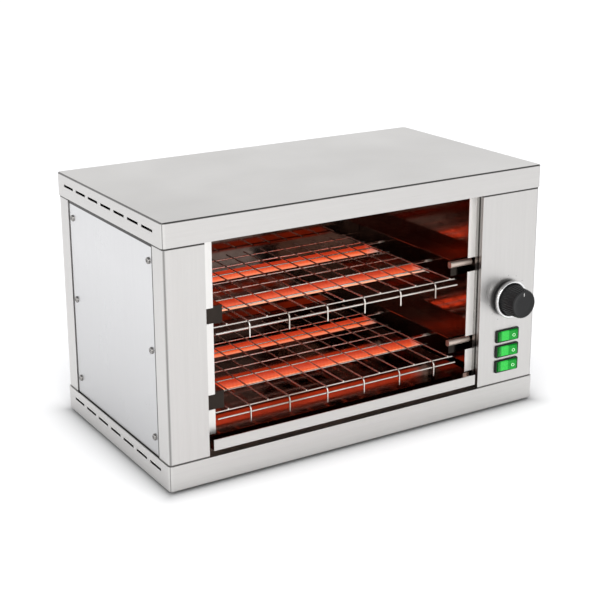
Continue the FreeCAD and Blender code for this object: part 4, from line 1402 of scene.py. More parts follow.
    def head_pattern(self, model: bpy.types.Object, finish: Finish) -> Pattern:
        """Return the tree that sets a turned copy of the head at each point.

        Args:
            model: The head to copy.
            finish: Finish of the head.

        Returns:
            The tree, which takes Turn, Lean and Seed.
        """
        pattern = Pattern("Screw heads", {"Turn": "NodeSocketVector", "Lean": "NodeSocketFloat",
                                          "Seed": "NodeSocketInt"})
        shape = pattern.sheet.add("GeometryNodeObjectInfo", {"Object": model})
        spin = pattern.sheet.add(
            "FunctionNodeRandomValue",
            {2: 0.0, 3: pattern.value("Lean"), "Seed": pattern.value("Seed")},
            data_type="FLOAT",
        )
        heads = pattern.sheet.add(
            "GeometryNodeInstanceOnPoints",
            {"Points": pattern.value("Geometry"), "Instance": shape.outputs["Geometry"],
             "Rotation": pattern.value("Turn")},
        )
        turned = pattern.sheet.add(
            "GeometryNodeRotateInstances",
            {"Instances": heads.outputs["Instances"],
             "Rotation": pattern.vector(0.0, 0.0, spin.outputs[1])},
        )
        pattern.finish(turned.outputs[0], finish.make())
        return pattern

    def build_screws(self) -> list[bpy.types.Object]:
        """Set a pan head at each screw of the sides and the back.

        Returns:
            The pieces, one for each panel.
        """
        finish = PolishedMetal("screw_bright", self.effects, colour=(0.3, 0.29, 0.28),
                               roughness=0.2)
        model = self.screw_head(finish)
        pattern = self.head_pattern(model, finish)
        side = [(y, z) for y in self.side_rows for z in self.side_levels]
        back = [(x, z) for x in self.back_columns for z in self.back_levels]
        quarter = math.pi / 2
        sets = (
            ("left_side_screws", [(self.left_face, y, z) for y, z in side],
             (0.0, -quarter, 0.0), 3),
            ("right_side_screws", [(self.right_face, y, z) for y, z in side],
             (0.0, quarter, 0.0), 5),
            ("back_screws", [(x, self.rear_face, z) for x, z in back], (-quarter, 0.0, 0.0), 7),
        )
        pieces = []
        for node, points, turn, seed in sets:
            piece = pattern.grow(node + "_heads", spots(node, points),
                                 {"Turn": turn, "Lean": math.pi, "Seed": seed})
            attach(piece, "housing")
            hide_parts(node)
            pieces.append(piece)
        bpy.data.objects.remove(model)
        return pieces


@dataclass
class Cavity:
    """Toasting space: liners, back, ceiling, floor shield and rails."""

    effects: Effects
    nodes: dict[str, bpy.types.Object]
    lip_y: float = -0.1099
    nose_y: float = -0.1012
    nose_edge: float = 0.8 * MM
    front_plate_shade_y: float = -0.0988

    def dress_sheets(self) -> None:
        """Give the cavity its smoked polish, with bright lips, and the rails bright noses over
        painted shade.
        """
        # Copies of one smoked polish in different tones paint light and shade: the back wall,
        # ceiling and floor shield darker, the right liner and its lip lighter, the left lip darker.
        wall = SmokedMirror("cavity_smoked_mirror", self.effects, clean=(0.13, 0.095, 0.08),
                            burnt=(0.07, 0.048, 0.04))
        left = SmokedMirror("left_liner_with_lip", self.effects, lip=(0.78, 0.77, 0.75),
                            lip_y=self.lip_y)
        right = SmokedMirror("right_liner_with_lip", self.effects, clean=(0.52, 0.35, 0.28),
                             burnt=(0.26, 0.16, 0.13), lip=(0.99, 0.97, 0.945),
                             lip_roughness=0.55, lip_y=self.lip_y)
        for name in ("cavity_back_wall", "cavity_ceiling", "floor_shield"):
            dress(self.nodes[name], wall)
        dress(self.nodes["left_liner"], left)
        dress(self.nodes["right_liner"], right)
        # Painted shade on the rails' front plates, behind the bright noses.
        front = Seam(y=(self.nose_y - self.nose_edge, self.front_plate_shade_y), depth=0.93)
        rail = SmokedMirror("rail_heat_tarnish", self.effects, clean=(0.24, 0.17, 0.14),
                            burnt=(0.07, 0.05, 0.042), lip=(0.66, 0.56, 0.49),
                            roughness=0.14, lip_y=self.nose_y, boxes=(front,))
        for deck in Deck:
            for side in ("left", "right"):
                dress(self.nodes[f"{deck.value}_{side}_rail"], rail)
        ceramic = Moulded("tube_end_ceramic", self.effects, colour=(0.72, 0.69, 0.63),
                          roughness=0.6, grains_to_metre=700.0, relief=0.3)
        for side in ("left", "right"):
            dress(self.nodes[f"{side}_tube_ends"], ceramic)


@dataclass
class HeatingTubes:
    """Six quartz tubes, each with a wound coil between straight leads."""

    effects: Effects
    levels: dict[str, float] = field(
        default_factory=lambda: {"lower": 0.0573, "middle": 0.1453, "top": 0.232})
    rows: dict[str, float] = field(default_factory=lambda: {"front": -0.029, "rear": 0.0625})
    left_end: float = -0.1901
    right_end: float = 0.1601
    radius: float = 5.25 * MM
    wall: float = 1.0 * MM
    coil_left: float = -0.1611
    coil_right: float = 0.1311
    coil_radius: float = 3.0 * MM
    lead_rise: float = 3.0 * MM
    wire_radius: float = 0.35 * MM
    turns: float = 64.0
    tube_sides: int = 40
    turn_steps: int = 14
    coil_sides: int = 5
    lead_sides: int = 6

    def tube_pattern(self) -> Pattern:
        """Return the tree of a glass tube with a bore, open at both ends.

        Returns:
            The tree, which takes Radius and Wall.
        """
        glass = HotQuartz("hot_quartz", self.effects)
        tube = Pattern("Quartz tube", {"Radius": "NodeSocketFloat", "Wall": "NodeSocketFloat"})
        path = tube.sheet.add("GeometryNodeMeshToCurve", {0: tube.value("Geometry")}).outputs[0]
        ends = tube.sheet.add("GeometryNodeCurvePrimitiveCircle",
                              {"Resolution": self.tube_sides, "Radius": tube.value("Radius")})
        outer = tube.sheet.add("GeometryNodeCurveToMesh",
                               {"Curve": path, "Profile Curve": ends.outputs[0]})
        inward = tube.sheet.math("MULTIPLY", tube.value("Wall"), -1.0)
        wall = tube.sheet.add("GeometryNodeExtrudeMesh",
                              {"Mesh": outer.outputs[0], "Offset Scale": inward,
                               "Individual": False}, mode="FACES")
        flipped = tube.sheet.add("GeometryNodeFlipFaces", {0: outer.outputs[0]}).outputs[0]
        tube.finish(tube.join([wall.outputs[0], flipped]), glass.make())
        return tube

    def coil_pattern(self) -> Pattern:
        """Return the tree of a wound wire and its two leads.

        Returns:
            The tree, which takes the coil's sizes.
        """
        wire = HotWire("hot_wire", self.effects)
        coil = Pattern("Heating coil", {
            "Left": "NodeSocketFloat", "Length": "NodeSocketFloat", "Turns": "NodeSocketFloat",
            "Coil Radius": "NodeSocketFloat", "Wire Radius": "NodeSocketFloat"})
        helix = coil.sheet.add("GeometryNodeCurveSpiral", {
            "Resolution": self.turn_steps, "Rotations": coil.value("Turns"),
            "Start Radius": coil.value("Coil Radius"), "End Radius": coil.value("Coil Radius"),
            "Height": coil.value("Length")})
        laid = coil.sheet.add("GeometryNodeTransform", {
            "Geometry": helix.outputs[0], "Translation": coil.vector(coil.value("Left")),
            "Rotation": (0.0, math.pi / 2, 0.0)})
        leads = coil.sheet.add("GeometryNodeMeshToCurve", {0: coil.value("Geometry")}).outputs[0]
        radius = coil.value("Wire Radius")
        wound = coil.join([coil.wire(laid.outputs[0], radius, self.coil_sides),
                           coil.wire(leads, radius, self.lead_sides)])
        coil.finish(wound, wire.make())
        return coil

    def build(self) -> list[bpy.types.Object]:
        """Build every tube and coil.

        Returns:
            The pieces.
        """
        tube, coil = self.tube_pattern(), self.coil_pattern()
        pieces = []
        for level, z in self.levels.items():
            for row, y in self.rows.items():
                pieces += self.build_pair(f"{level}_{row}", y, z, tube, coil)
        return pieces

    def build_pair(
        self, place: str, y: float, z: float, tube: Pattern, coil: Pattern
    ) -> list[bpy.types.Object]:
        """Build one tube and its coil.

        Args:
            place: The tube's name in the CAD nodes.
            y: Its depth.
            z: Its height.
            tube: Tree of the tube.
            coil: Tree of the coil.

        Returns:
            The tube and the coil.
        """
        axis = route("axis", [(self.left_end, 0, 0), (self.right_end, 0, 0)])
        glass = tube.grow("hot_tube_" + place, axis, {"Radius": self.radius, "Wall": self.wall})
        leads = spots(
            "leads",
            [(self.left_end, 0, 0), (self.coil_left - self.lead_rise, 0, 0),
             (self.coil_left, 0, self.coil_radius), (self.coil_right, 0, self.coil_radius),
             (self.coil_right + self.lead_rise, 0, 0), (self.right_end, 0, 0)],
            [(0, 1), (1, 2), (3, 4), (4, 5)])
        wound = coil.grow("hot_coil_" + place, leads, {
            "Left": self.coil_left, "Length": self.coil_right - self.coil_left,
            "Turns": self.turns, "Coil Radius": self.coil_radius,
            "Wire Radius": self.wire_radius})
        for piece, node, slot in ((glass, "quartz_tube_", "quartz"),
                                  (wound, "heating_coil_", "glowing_coil")):
            piece.data.transform(Matrix.Translation((0, y, z)))
            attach(piece, "housing")
            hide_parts(node + place)
        return [glass, wound]


@dataclass
class WireRack:
    """A toast rack: long wires over cross wires, with a turned-down front."""

    effects: Effects
    deck: Deck
    plane: float
    centre_x: float = -0.015
    half_width: float = 0.135
    left_overhang: float = 0.014
    right_overhang: float = 0.007
    long_count: int = 13
    turned_count: int = 6
    pitch: float = 0.0225
    front_turn_y: float = -0.1035
    front_y: float = -0.1085
    rear_y: float = 0.1035
    cross_count: int = 7
    wire_sides: int = 12
    rod_sides: int = 14
    bend_steps: int = 7
    cross_first_y: float = -0.0565
    cross_pitch: float = 0.025
    front_cross_y: float = -0.1019
    guard_y: float = -0.1067
    wire_radius: float = 0.8 * MM
    front_radius: float = 1.0 * MM
    bend: float = 4.9 * MM
    leg_drop: float = 0.0155
    guard_drop: float = 0.006

    def wire_pattern(self) -> Pattern:
        """Return the tree of a rack's long, turned-down and cross wires and its front rods.

        Returns:
            The tree, which takes the rack's sizes.
        """
        finish = TarnishedSteel("rack_wire_tarnish", self.effects, clean=(0.82, 0.79, 0.75),
                                burnt=(0.5, 0.44, 0.39), roughness=0.18, metallic=0.9)
        pattern = Pattern("Toast rack", {
            "Long Count": "NodeSocketInt", "Pitch": "NodeSocketFloat",
            "Left": "NodeSocketFloat", "Front": "NodeSocketFloat", "Rear": "NodeSocketFloat",
            "Cross Count": "NodeSocketInt", "Cross First": "NodeSocketFloat",
            "Cross Pitch": "NodeSocketFloat", "Cross Left": "NodeSocketFloat",
            "Cross Right": "NodeSocketFloat", "Radius": "NodeSocketFloat",
            "Bend": "NodeSocketFloat"})
        sheet = pattern.sheet
        high = pattern.value("Radius")
        low = sheet.math("MULTIPLY", high, -1.0)
        straight = sheet.add("GeometryNodeCurvePrimitiveLine", {
            "Start": pattern.vector(0.0, pattern.value("Front"), high),
            "End": pattern.vector(0.0, pattern.value("Rear"), high)}).outputs[0]
        twice = sheet.math("MULTIPLY", pattern.value("Pitch"), 2.0)
        straight_wire = pattern.wire(straight, pattern.value("Radius"), self.wire_sides)
        straights = sheet.math("SUBTRACT", pattern.value("Long Count"), self.turned_count)
        rows = [pattern.row(straight_wire, straights, pattern.vector(pattern.value("Left")),
                            pattern.vector(twice))]
        bent = sheet.add("GeometryNodeMeshToCurve", {0: pattern.value("Geometry")}).outputs[0]
        rounded = sheet.add("GeometryNodeFilletCurve", {
            "Curve": bent, "Count": self.bend_steps, "Radius": pattern.value("Bend"),
            "Limit Radius": True}, mode="POLY").outputs[0]
        turned = pattern.wire(rounded, pattern.value("Radius"), self.wire_sides)
        second = sheet.math("ADD", pattern.value("Left"), pattern.value("Pitch"))
        rows.append(pattern.row(turned, self.turned_count, pattern.vector(second),
                                pattern.vector(twice)))
        across = sheet.add("GeometryNodeCurvePrimitiveLine", {
            "Start": pattern.vector(pattern.value("Cross Left"), 0.0, low),
            "End": pattern.vector(pattern.value("Cross Right"), 0.0, low)}).outputs[0]
        cross = pattern.wire(across, pattern.value("Radius"), self.wire_sides)
        rows.append(pattern.row(cross, pattern.value("Cross Count"),
                                pattern.vector(0.0, pattern.value("Cross First")),
                                pattern.vector(0.0, pattern.value("Cross Pitch"))))
        for y, z, radius in ((self.front_cross_y, 0.0, self.wire_radius),
                             (self.guard_y, -self.guard_drop + self.wire_radius,
                              self.front_radius)):
            rod = pattern.wire(across, radius, self.rod_sides)
            rows.append(pattern.row(rod, 1, (0.0, y, z), (0.0, 0.0, 0.0)))
        pattern.finish(pattern.join(rows), finish.make())
        return pattern

    def build(self) -> bpy.types.Object:
        """Build the rack as one welded mesh.

        Returns:
            The rack.
        """
        pattern = self.wire_pattern()
        seed = route("turned wire", [
            (0.0, self.rear_y, self.wire_radius), (0.0, self.front_y, self.wire_radius),
            (0.0, self.front_y, -self.leg_drop)])
        rack = pattern.grow(self.deck.value + "_wire_rack", seed, {
            "Long Count": self.long_count, "Pitch": self.pitch,
            "Left": self.centre_x - self.half_width, "Front": self.front_turn_y,
            "Rear": self.rear_y, "Cross Count": self.cross_count,
            "Cross First": self.cross_first_y, "Cross Pitch": self.cross_pitch,
            "Cross Left": self.centre_x - self.half_width - self.left_overhang,
            "Cross Right": self.centre_x + self.half_width + self.right_overhang,
            "Radius": self.wire_radius, "Bend": self.bend})
        rack.data.transform(Matrix.Translation((0, 0, self.plane)))
        name = self.deck.value
        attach(rack, name + "_rack")
        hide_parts(name + "_rack_grid", name + "_rack_guard")
        return rack


@dataclass
class TimerDial:
    """Timer knob with its bright ring, and the printed scale round it."""

    effects: Effects
    axis: tuple[float, float] = (0.1856, 0.1267)
    panel_y: float = -0.1215
    skirt_radius: float = 19.3 * MM
    skirt_edge: float = 19.0 * MM
    skirt_back: float = 0.8 * MM
    skirt_front: float = 4.0 * MM
    hub_radius: float = 10.0 * MM
    base_radius: float = 17.0 * MM
    face_radius: float = 15.8 * MM
    reach: float = 27.0 * MM
    rib_count: int = 36
    rib_depth: float = 0.55 * MM
    ring_radius: float = 21.0 * MM
    ring_bore: float = 17.25 * MM
    ring_shade: float = 6.4 * MM
    ring_steps: int = 96
    rib_steps: int = 8
    pointer_half: float = 0.45 * MM
    pointer_low: float = 8.8 * MM
    pointer_high: float = 12.4 * MM
    pointer_sunk: float = 0.12 * MM
    scale_radius: float = 25.5 * MM
    scale_start: float = -60.0
    scale_sweep: float = 300.0
    dot_radius: float = 0.45 * MM
    dot_depth: float = 0.06 * MM
    dot_sides: int = 16
    mark_count: int = 13

    def build_knob(self) -> bpy.types.Object:
        """Build the ribbed knob with its dished face.

        Returns:
            The knob.
        """
        face, skirt, back = self.reach, self.skirt_front, self.skirt_back
        outline = [
            (0.0, skirt), (self.hub_radius, skirt), (self.hub_radius, back),
            (self.skirt_edge, back), (self.skirt_radius, back + 0.3 * MM),
            (self.skirt_radius, skirt - 0.3 * MM), (self.skirt_edge, skirt),
            (self.base_radius, skirt), (self.base_radius, skirt + 0.6 * MM),
            (self.base_radius, skirt + 1.2 * MM), (16.7 * MM, 11.0 * MM), (16.3 * MM, 17.0 * MM),
            (self.face_radius, face - 1.6 * MM), (15.6 * MM, face - 0.9 * MM),
            (15.1 * MM, face - 0.3 * MM), (14.4 * MM, face), (13.7 * MM, face),
            (13.2 * MM, face - 0.25 * MM), (8.0 * MM, face - 0.4 * MM), (0.0, face - 0.45 * MM),
        ]
        # How deep the grooves are at a corner of the outline, by the corner's number.
        deep = {9: 0.6, 10: 1.0, 11: 1.0, 12: 1.0, 13: 0.7, 14: 0.3}

        def ribs(angle: float, number: int) -> float:
            """Return how far a groove takes the radius in."""
            wave = 0.5 - 0.5 * math.cos(self.rib_count * angle)
            return self.rib_depth * deep.get(number, 0.0) * wave ** 0.7

        steps = self.rib_count * self.rib_steps
        form = lathe(outline, self.axis, self.panel_y, -1, steps, ribs)
        finish = Moulded("knob_black_plastic", self.effects, colour=(0.008, 0.008, 0.0085),
                         roughness=0.32, grains_to_metre=3200.0, relief=0.1, sheen=0.22)
        knob = solid("ribbed_knob", form, finish)
        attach(knob, "timer_dial")
        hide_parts("timer_knob")
        return knob

    def build_pointer(self) -> bpy.types.Object:
        """Build the pale pointer near the top of the knob's face.

        Returns:
            The pointer.
        """
        x, z = self.axis
        front = self.panel_y - self.reach + self.pointer_sunk
        form = rounded_box((x - self.pointer_half, front, z + self.pointer_low),
                           (x + self.pointer_half, front + 0.7 * MM, z + self.pointer_high),
                           0.15 * MM)
        finish = Moulded("pointer_white", self.effects, colour=(0.45, 0.45, 0.44), roughness=0.4,
                         grains_to_metre=2500.0, relief=0.05)
        pointer = solid("knob_pointer", form, finish)
        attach(pointer, "timer_dial")
        return pointer

    def build_ring(self) -> bpy.types.Object:
        """Build the plated ring on the skirt.

        Returns:
            The ring.
        """
        bore, edge, skirt = self.ring_bore, self.ring_radius, self.skirt_front
        outline = [
            (bore, skirt), (edge - 0.9 * MM, skirt), (edge - 0.3 * MM, skirt + 0.2 * MM),
            (edge, 4.8 * MM), (edge, 6.9 * MM), (edge - 0.25 * MM, 7.7 * MM),
            (edge - 0.9 * MM, 8.25 * MM), (edge - 1.7 * MM, 8.4 * MM), (bore + 0.9 * MM, 8.0 * MM),
            (bore, 7.2 * MM), (bore, skirt),
        ]
        form = lathe(outline, self.axis, self.panel_y, -1, self.ring_steps)
        # Painted shade on the ring's side next to the panel.
        root = Seam(y=(self.panel_y - self.ring_shade, FAR), depth=0.85, soft=0.8 * MM)
        finish = PolishedMetal("ring_bright_plate", self.effects, colour=(0.82, 0.82, 0.82),
                               roughness=0.08, boxes=(root,))
        ring = solid("knob_bright_ring", form, finish)
        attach(ring, "timer_dial")
        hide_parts("knob_ring")
        return ring

    def build_scale(self) -> bpy.types.Object:
        """Print the row of dots round the knob.

        Returns:
            The dots as one piece.
        """
        ink = Moulded("scale_print", self.effects, colour=(0.16, 0.16, 0.165), roughness=0.5,
                      grains_to_metre=1800.0, relief=0.02)
        pattern = Pattern("Dial scale", {
            "Count": "NodeSocketInt", "Radius": "NodeSocketFloat", "Dot": "NodeSocketFloat"})
        arc = pattern.sheet.add("GeometryNodeCurveArc", {
            "Resolution": pattern.value("Count"), "Radius": pattern.value("Radius"),
            "Start Angle": math.radians(self.scale_start),
            "Sweep Angle": math.radians(self.scale_sweep)}, mode="RADIUS")
        dot = pattern.sheet.add("GeometryNodeMeshCylinder", {
            "Vertices": self.dot_sides, "Radius": pattern.value("Dot"),
            "Depth": self.dot_depth})
        places = pattern.sheet.add("GeometryNodeCurveToPoints", {0: arc.outputs[0]},
                                   mode="EVALUATED")
        row = pattern.sheet.add("GeometryNodeInstanceOnPoints", {
            "Points": places.outputs[0], "Instance": dot.outputs[0]})
        pattern.finish(row.outputs[0], ink.make())
        scale = pattern.grow("dial_scale", spots("scale", [(0, 0, 0)]), {
            "Count": self.mark_count, "Radius": self.scale_radius, "Dot": self.dot_radius})
        x, z = self.axis
        upright = Matrix.Rotation(math.pi / 2, 4, "X")
        middle = self.panel_y - self.dot_depth / 2
        scale.data.transform(Matrix.Translation((x, middle, z)) @ upright)
        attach(scale, "housing")
        return scale

    def build(self) -> list[bpy.types.Object]:
        """Build the dial's pieces."""
        return [self.build_knob(), self.build_pointer(), self.build_ring(), self.build_scale()]


@dataclass
class LampSwitch:
    """Illuminated rocker switch with its bezel.

    The bezel is given by its width, thickness and height, the neck behind the panel by its
    width, depth and height, and the well that the rocker sits in by its width and height.
    """

    effects: Effects
    place: str
    z: float
    x: float = 0.1864
    face_y: float = -0.1215
    bezel: tuple[float, float, float] = (31.6 * MM, 2.2 * MM, 14.3 * MM)
    well: tuple[float, float] = (26.8 * MM, 10.9 * MM)
    neck: tuple[float, float, float] = (28.2 * MM, 26.0 * MM, 12.4 * MM)
    well_depth: float = 12.0 * MM
    pivot_depth: float = 4.0 * MM
    rocker_height: float = 10.3 * MM
    rocker_half: float = 11.9 * MM
    root_half: float = 12.3 * MM
    rocker_face: float = 7.0 * MM
    root: float = 2.5 * MM
    crest_steps: int = 12
    crest_soft: float = 0.004
    rim_round: float = 0.6 * MM
    mark_outer: float = 1.8 * MM
    mark_inner: float = 1.3 * MM
    mark_thick: float = 0.25 * MM
    mark_sunk: float = 0.12 * MM
    mark_x: float = 7.4 * MM
    throw: float = math.radians(14)

    def build_housing(self) -> bpy.types.Object:
        """Build the bezel, well and neck as one moulding.

        Returns:
            The moulding.
        """
        form = bmesh.new()
        length, thick, height = self.bezel
        front = self.face_y - thick
        loops = []
        steps = (
            (self.neck[0], self.neck[2], self.face_y + self.neck[1], 0.4 * MM),
            (self.neck[0], self.neck[2], self.face_y, 0.4 * MM),
            (length, height, self.face_y, 1.6 * MM),
            (length, height, front + 0.9 * MM, 1.6 * MM),
            (length - 0.7 * MM, height - 0.7 * MM, front + 0.2 * MM, 1.4 * MM),
            (length - 1.6 * MM, height - 1.6 * MM, front, 1.1 * MM),
            (self.well[0] + 0.6 * MM, self.well[1] + 0.6 * MM, front + 0.1 * MM, 0.6 * MM),
            (self.well[0], self.well[1], front + 0.6 * MM, 0.4 * MM),
            (self.well[0], self.well[1], self.face_y + self.well_depth, 0.4 * MM),
        )
        for wide, tall, y, radius in steps:
            loops.append(self.rounded_loop(form, wide, tall, y, radius))
        skin(form, loops)
        form.faces.new(loops[0])
        form.faces.new(loops[-1])
        finish = LampBezel("switch_black_plastic_" + self.place, self.effects,
                           colour=(0.006, 0.008, 0.007), roughness=0.34, grains_to_metre=2600.0,
                           relief=0.1, sheen=0.2, centre=(self.x, self.z))
        housing = solid("switch_bezel_" + self.place, form, finish)
        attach(housing, "housing")
        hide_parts("switch_housing_" + self.place)
        return housing

    def rounded_loop(
        self, form: bmesh.types.BMesh, wide: float, tall: float, y: float, radius: float
    ) -> list[bmesh.types.BMVert]:
        """Return the corners of a rounded rectangle round the switch's centre.

        Args:
            form: Form that takes the corners.
            wide: Width of the rectangle.
            tall: Height of the rectangle.
            y: Its depth.
            radius: Radius of its corners.

        Returns:
            The corners.
        """
        loop = []
        steps = 4
        for corner, (side_x, side_z) in enumerate(((1, 1), (-1, 1), (-1, -1), (1, -1))):
            for step in range(steps + 1):
                angle = math.radians(90 * (corner + step / steps))
                loop.append(form.verts.new((
                    self.x + side_x * (wide / 2 - radius) + radius * math.cos(angle), y,
                    self.z + side_z * (tall / 2 - radius) + radius * math.sin(angle))))
        return loop

    def rocker_form(self, crest: float, shoulder: float) -> bmesh.types.BMesh:
        """Return the rocker round its pivot, with a soft crest between its two faces.

        Args:
            crest: y of the crest between the faces.
            shoulder: y of the faces' far ends.

        Returns:
            A closed form.
        """
        outline = [(-self.rocker_half, shoulder)]
        for step in range(1, self.crest_steps):
            share = 2 * step / self.crest_steps - 1
            bow = abs(share)
            soft = math.sqrt(bow * bow + self.crest_soft) - math.sqrt(self.crest_soft) * (1 - bow)
            outline.append((self.rocker_half * share,
                            crest + (shoulder - crest) * min(1.0, soft)))
        outline += [(self.rocker_half, shoulder), (self.root_half, self.root),
                    (-self.root_half, self.root)]
        form = bmesh.new()
        low = [form.verts.new((x, y, -self.rocker_height / 2)) for x, y in outline]
        high = [form.verts.new((x, y, self.rocker_height / 2)) for x, y in outline]
        skin(form, [low, high])
        caps = [form.faces.new(low), form.faces.new(high)]
        rim = [edge for cap in caps for edge in cap.edges
               if all(vert.co.y < self.root - 1e-6 for vert in edge.verts)]
        bmesh.ops.bevel(form, geom=rim, offset=self.rim_round, segments=3, profile=0.5,
                        affect="EDGES")
        return form

    def mark_form(self) -> bmesh.types.BMesh:
        """Return the raised ring, lying at the origin.

        Returns:
            A closed form.
        """
        form = bmesh.new()
        for radius in (self.mark_outer, self.mark_inner):
            bmesh.ops.create_circle(form, segments=32, radius=radius, cap_ends=False)
        bmesh.ops.bridge_loops(form, edges=form.edges[:])
        raised = bmesh.ops.extrude_face_region(form, geom=form.faces[:])
        lifted = [part for part in raised["geom"] if isinstance(part, bmesh.types.BMVert)]
        bmesh.ops.translate(form, vec=(0, 0, self.mark_thick), verts=lifted)
        return form

    def build_rocker(self) -> list[bpy.types.Object]:
        """Build the rocker, tilted to its rest, and the ring printed on its far end.

        Returns:
            The rocker and its ring.
        """
        half = self.throw / 2
        crest = -self.rocker_face / math.cos(half)
        shoulder = crest - self.rocker_half * math.tan(half)
        form = self.rocker_form(crest, shoulder)
        place = (Matrix.Translation((self.x, self.face_y + self.pivot_depth, self.z))
                 @ Matrix.Rotation(-half, 4, "Z"))
        bmesh.ops.transform(form, matrix=place, verts=form.verts)
        green = LitRocker("rocker_lit_green", self.effects)
        rocker = solid("lit_rocker_" + self.place, form, green)
        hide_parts("rocker_" + self.place)
        mark = self.mark_form()
        depth = crest + (shoulder - crest) * self.mark_x / self.rocker_half + self.mark_sunk
        on_face = (place @ Matrix.Translation((self.mark_x, depth, 0))
                   @ Matrix.Rotation(-half, 4, "Z") @ Matrix.Rotation(math.pi / 2, 4, "X"))
        bmesh.ops.transform(mark, matrix=on_face, verts=mark.verts)
        ring = solid("rocker_mark_" + self.place, mark, Moulded(
            "rocker_mark_pale", self.effects, colour=(0.55, 0.95, 0.55), roughness=0.4,
            grains_to_metre=2000.0, relief=0.02))
        for piece in (rocker, ring):
            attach(piece, "rocker_" + self.place)
        return [rocker, ring]

    def build(self) -> list[bpy.types.Object]:
        """Build the switch's pieces."""
        return [self.build_housing(), *self.build_rocker()]


@dataclass
class Services:
    """Timer and terminals behind the panel, cable gland at the back, and the crumb tray."""

    effects: Effects
    nodes: dict[str, bpy.types.Object]
    bar_back: float = -0.1217

    def dress_parts(self) -> None:
        """Give these CAD nodes their finishes."""
        effects = self.effects
        finishes = {
            "timer_body": Moulded("timer_case", effects, colour=(0.5, 0.48, 0.42), roughness=0.5,
                                  grains_to_metre=900.0, relief=0.2),
            "timer_nut": PolishedMetal("timer_nut_plate", effects, roughness=0.25),
            "timer_shaft": PolishedMetal("timer_shaft_steel", effects, roughness=0.2),
            "cable_gland": Moulded("gland_black", effects, colour=(0.02, 0.02, 0.021),
                                   roughness=0.45, grains_to_metre=1200.0, relief=0.25),
            "gland_lock_nut": Moulded("gland_nut_black", effects, colour=(0.02, 0.02, 0.021),
                                      roughness=0.45, grains_to_metre=1200.0, relief=0.25),
            "terminal_block": Moulded("terminal_cream", effects, colour=(0.62, 0.58, 0.48),
                                      roughness=0.5, grains_to_metre=900.0, relief=0.2),
            "crumb_tray": SmokedMirror("tray_with_bar", effects, lip=(0.6, 0.59, 0.575),
                                       lip_grain=Grain.ALONG_WIDTH, lip_y=self.bar_back),
        }
        for name, finish in finishes.items():
            dress(self.nodes[name], finish)


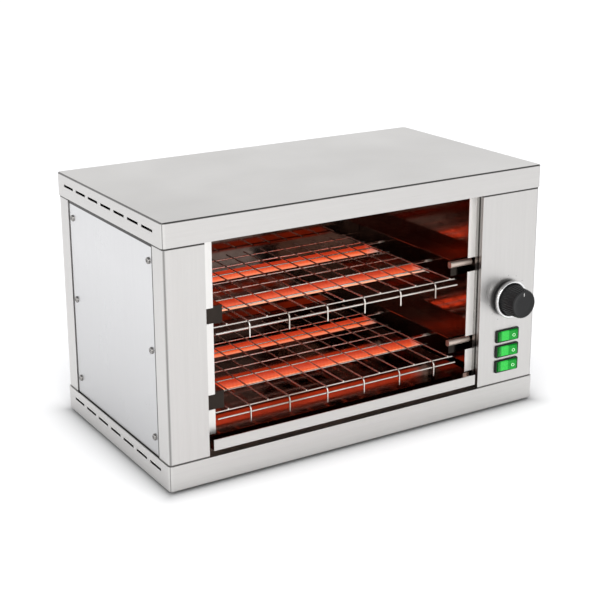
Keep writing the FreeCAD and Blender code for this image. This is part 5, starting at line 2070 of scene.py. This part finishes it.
@dataclass
class Studio:
    """Floor, soft lights, surroundings and the camera at the photograph's view."""

    effects: Effects
    place: Point = (-0.7274, -1.1802, 0.5847)
    azimuth: float = 31.529
    elevation: float = 16.362
    roll: float = -0.278
    lens: float = 80.49
    shift: float = -0.08
    film: float = 36.0
    near: float = 0.05
    far: float = 100.0
    floor_half: float = 30.0
    around: Colour = (1.2, 1.2, 1.2)
    overhead: Colour = (0.42, 0.42, 0.43)
    overhead_up: Reach = (0.3, 0.7)
    sky_place: Point = (-0.3, -0.9, 2.0)
    sky_power: float = 2.0
    sky_angle: float = 70.0
    aim: Point = (0.0, 0.0, 0.15)

    def build_floor(self) -> None:
        """Lay the pale floor under the feet."""
        form = bmesh.new()
        bmesh.ops.create_grid(form, x_segments=1, y_segments=1, size=self.floor_half)
        floor = solid("studio_floor", form, FloorPaint("studio_floor_paint", self.effects),
                      smooth=False)

    def build_light(
        self, name: str, place: Point, size: float, power: float, colour: Colour
    ) -> None:
        """Hang a square soft light that points at the toaster.

        Args:
            name: Name of the light.
            place: Where it hangs.
            size: Side of its square.
            power: Its power in watts.
            colour: Its colour.
        """
        data = bpy.data.lights.new(name, "AREA")
        data.size = size
        data.energy = power
        data.color = colour
        self.hang(data, place, self.aim)

    def hang(self, data: bpy.types.Light, place: Point, aim: Point) -> bpy.types.Object:
        """Put a light in the scene at a place, pointing at an aim.

        Args:
            data: The light's data.
            place: Where it hangs.
            aim: Where it points.

        Returns:
            The light.
        """
        light = put(data.name, data)
        light.location = place
        light.rotation_euler = (Vector(aim) - Vector(place)).to_track_quat("-Z", "Y").to_euler()
        return light

    def build_sky(self) -> None:
        """Add the even light from above that whitens the floor."""
        data = bpy.data.lights.new("Sky", "SUN")
        data.energy = self.sky_power
        data.angle = math.radians(self.sky_angle)
        self.hang(data, self.sky_place, (0, 0, 0)).visible_glossy = False

    def build_surroundings(self) -> None:
        """Make the studio's even pale light, white all round and dimmer overhead."""
        world = bpy.data.worlds.new("Studio")
        bpy.context.scene.world = world
        world.use_nodes = True
        sheet = Sheet(world.node_tree)
        back = world.node_tree.nodes["Background"]
        place = sheet.add("ShaderNodeTexCoord").outputs["Generated"]
        up = sheet.rise(sheet.parts(place)[2], *self.overhead_up)
        colour = sheet.blend(up, rgba(self.around), rgba(self.overhead))
        sheet.feed(back, {"Color": colour, "Strength": 1.0})

    def build_camera(self) -> None:
        """Set the camera at the photograph's view."""
        data = bpy.data.cameras.new("Camera")
        data.lens = self.lens
        data.sensor_width = self.film
        data.shift_y = self.shift
        data.clip_start = self.near
        data.clip_end = self.far
        camera = put("Camera", data)
        turn, drop = math.radians(self.azimuth), math.radians(self.elevation)
        ahead = Vector((math.sin(turn) * math.cos(drop), math.cos(turn) * math.cos(drop),
                        -math.sin(drop)))
        right = ahead.cross(Vector((0, 0, 1))).normalized()
        up = right.cross(ahead)
        lean = math.radians(self.roll)
        side = math.cos(lean) * right + math.sin(lean) * up
        top = math.cos(lean) * up - math.sin(lean) * right
        frame = Matrix((side, top, -ahead)).transposed().to_4x4()
        camera.matrix_world = Matrix.Translation(self.place) @ frame
        bpy.context.scene.camera = camera

    def build(self) -> None:
        """Build the studio."""
        self.build_floor()
        self.build_surroundings()
        self.build_sky()
        self.build_light("Left", (-2.4, -0.6, 1.3), size=1.8, power=12.0,
                         colour=(0.95, 0.98, 1.0))
        self.build_light("Front", (-0.6, -2.0, 1.0), size=0.8, power=10.0,
                         colour=(1.0, 0.98, 0.95))
        self.build_camera()
        bpy.context.scene.view_settings.view_transform = "Standard"


def main() -> None:
    """Dress the toaster and set it in its studio."""
    logging.basicConfig(level=logging.INFO, format="%(name)s: %(message)s")
    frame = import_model()
    nodes = frame["nodes"]
    effects = Effects()
    housing = Housing(effects, nodes)
    housing.dress_sheets()
    pieces = housing.build_screws()
    Cavity(effects, nodes).dress_sheets()
    pieces += HeatingTubes(effects).build()
    for deck, plane in RACK_PLANES.items():
        pieces.append(WireRack(effects, deck, plane).build())
    pieces += TimerDial(effects).build()
    for place, height in SWITCH_HEIGHTS.items():
        pieces += LampSwitch(effects, place, height).build()
    Services(effects, nodes).dress_parts()
    for piece in pieces:
        LOG.info("%s: %d faces", piece.name, len(piece.data.polygons))
    Studio(effects).build()


if __name__ == "__main__":
    main()
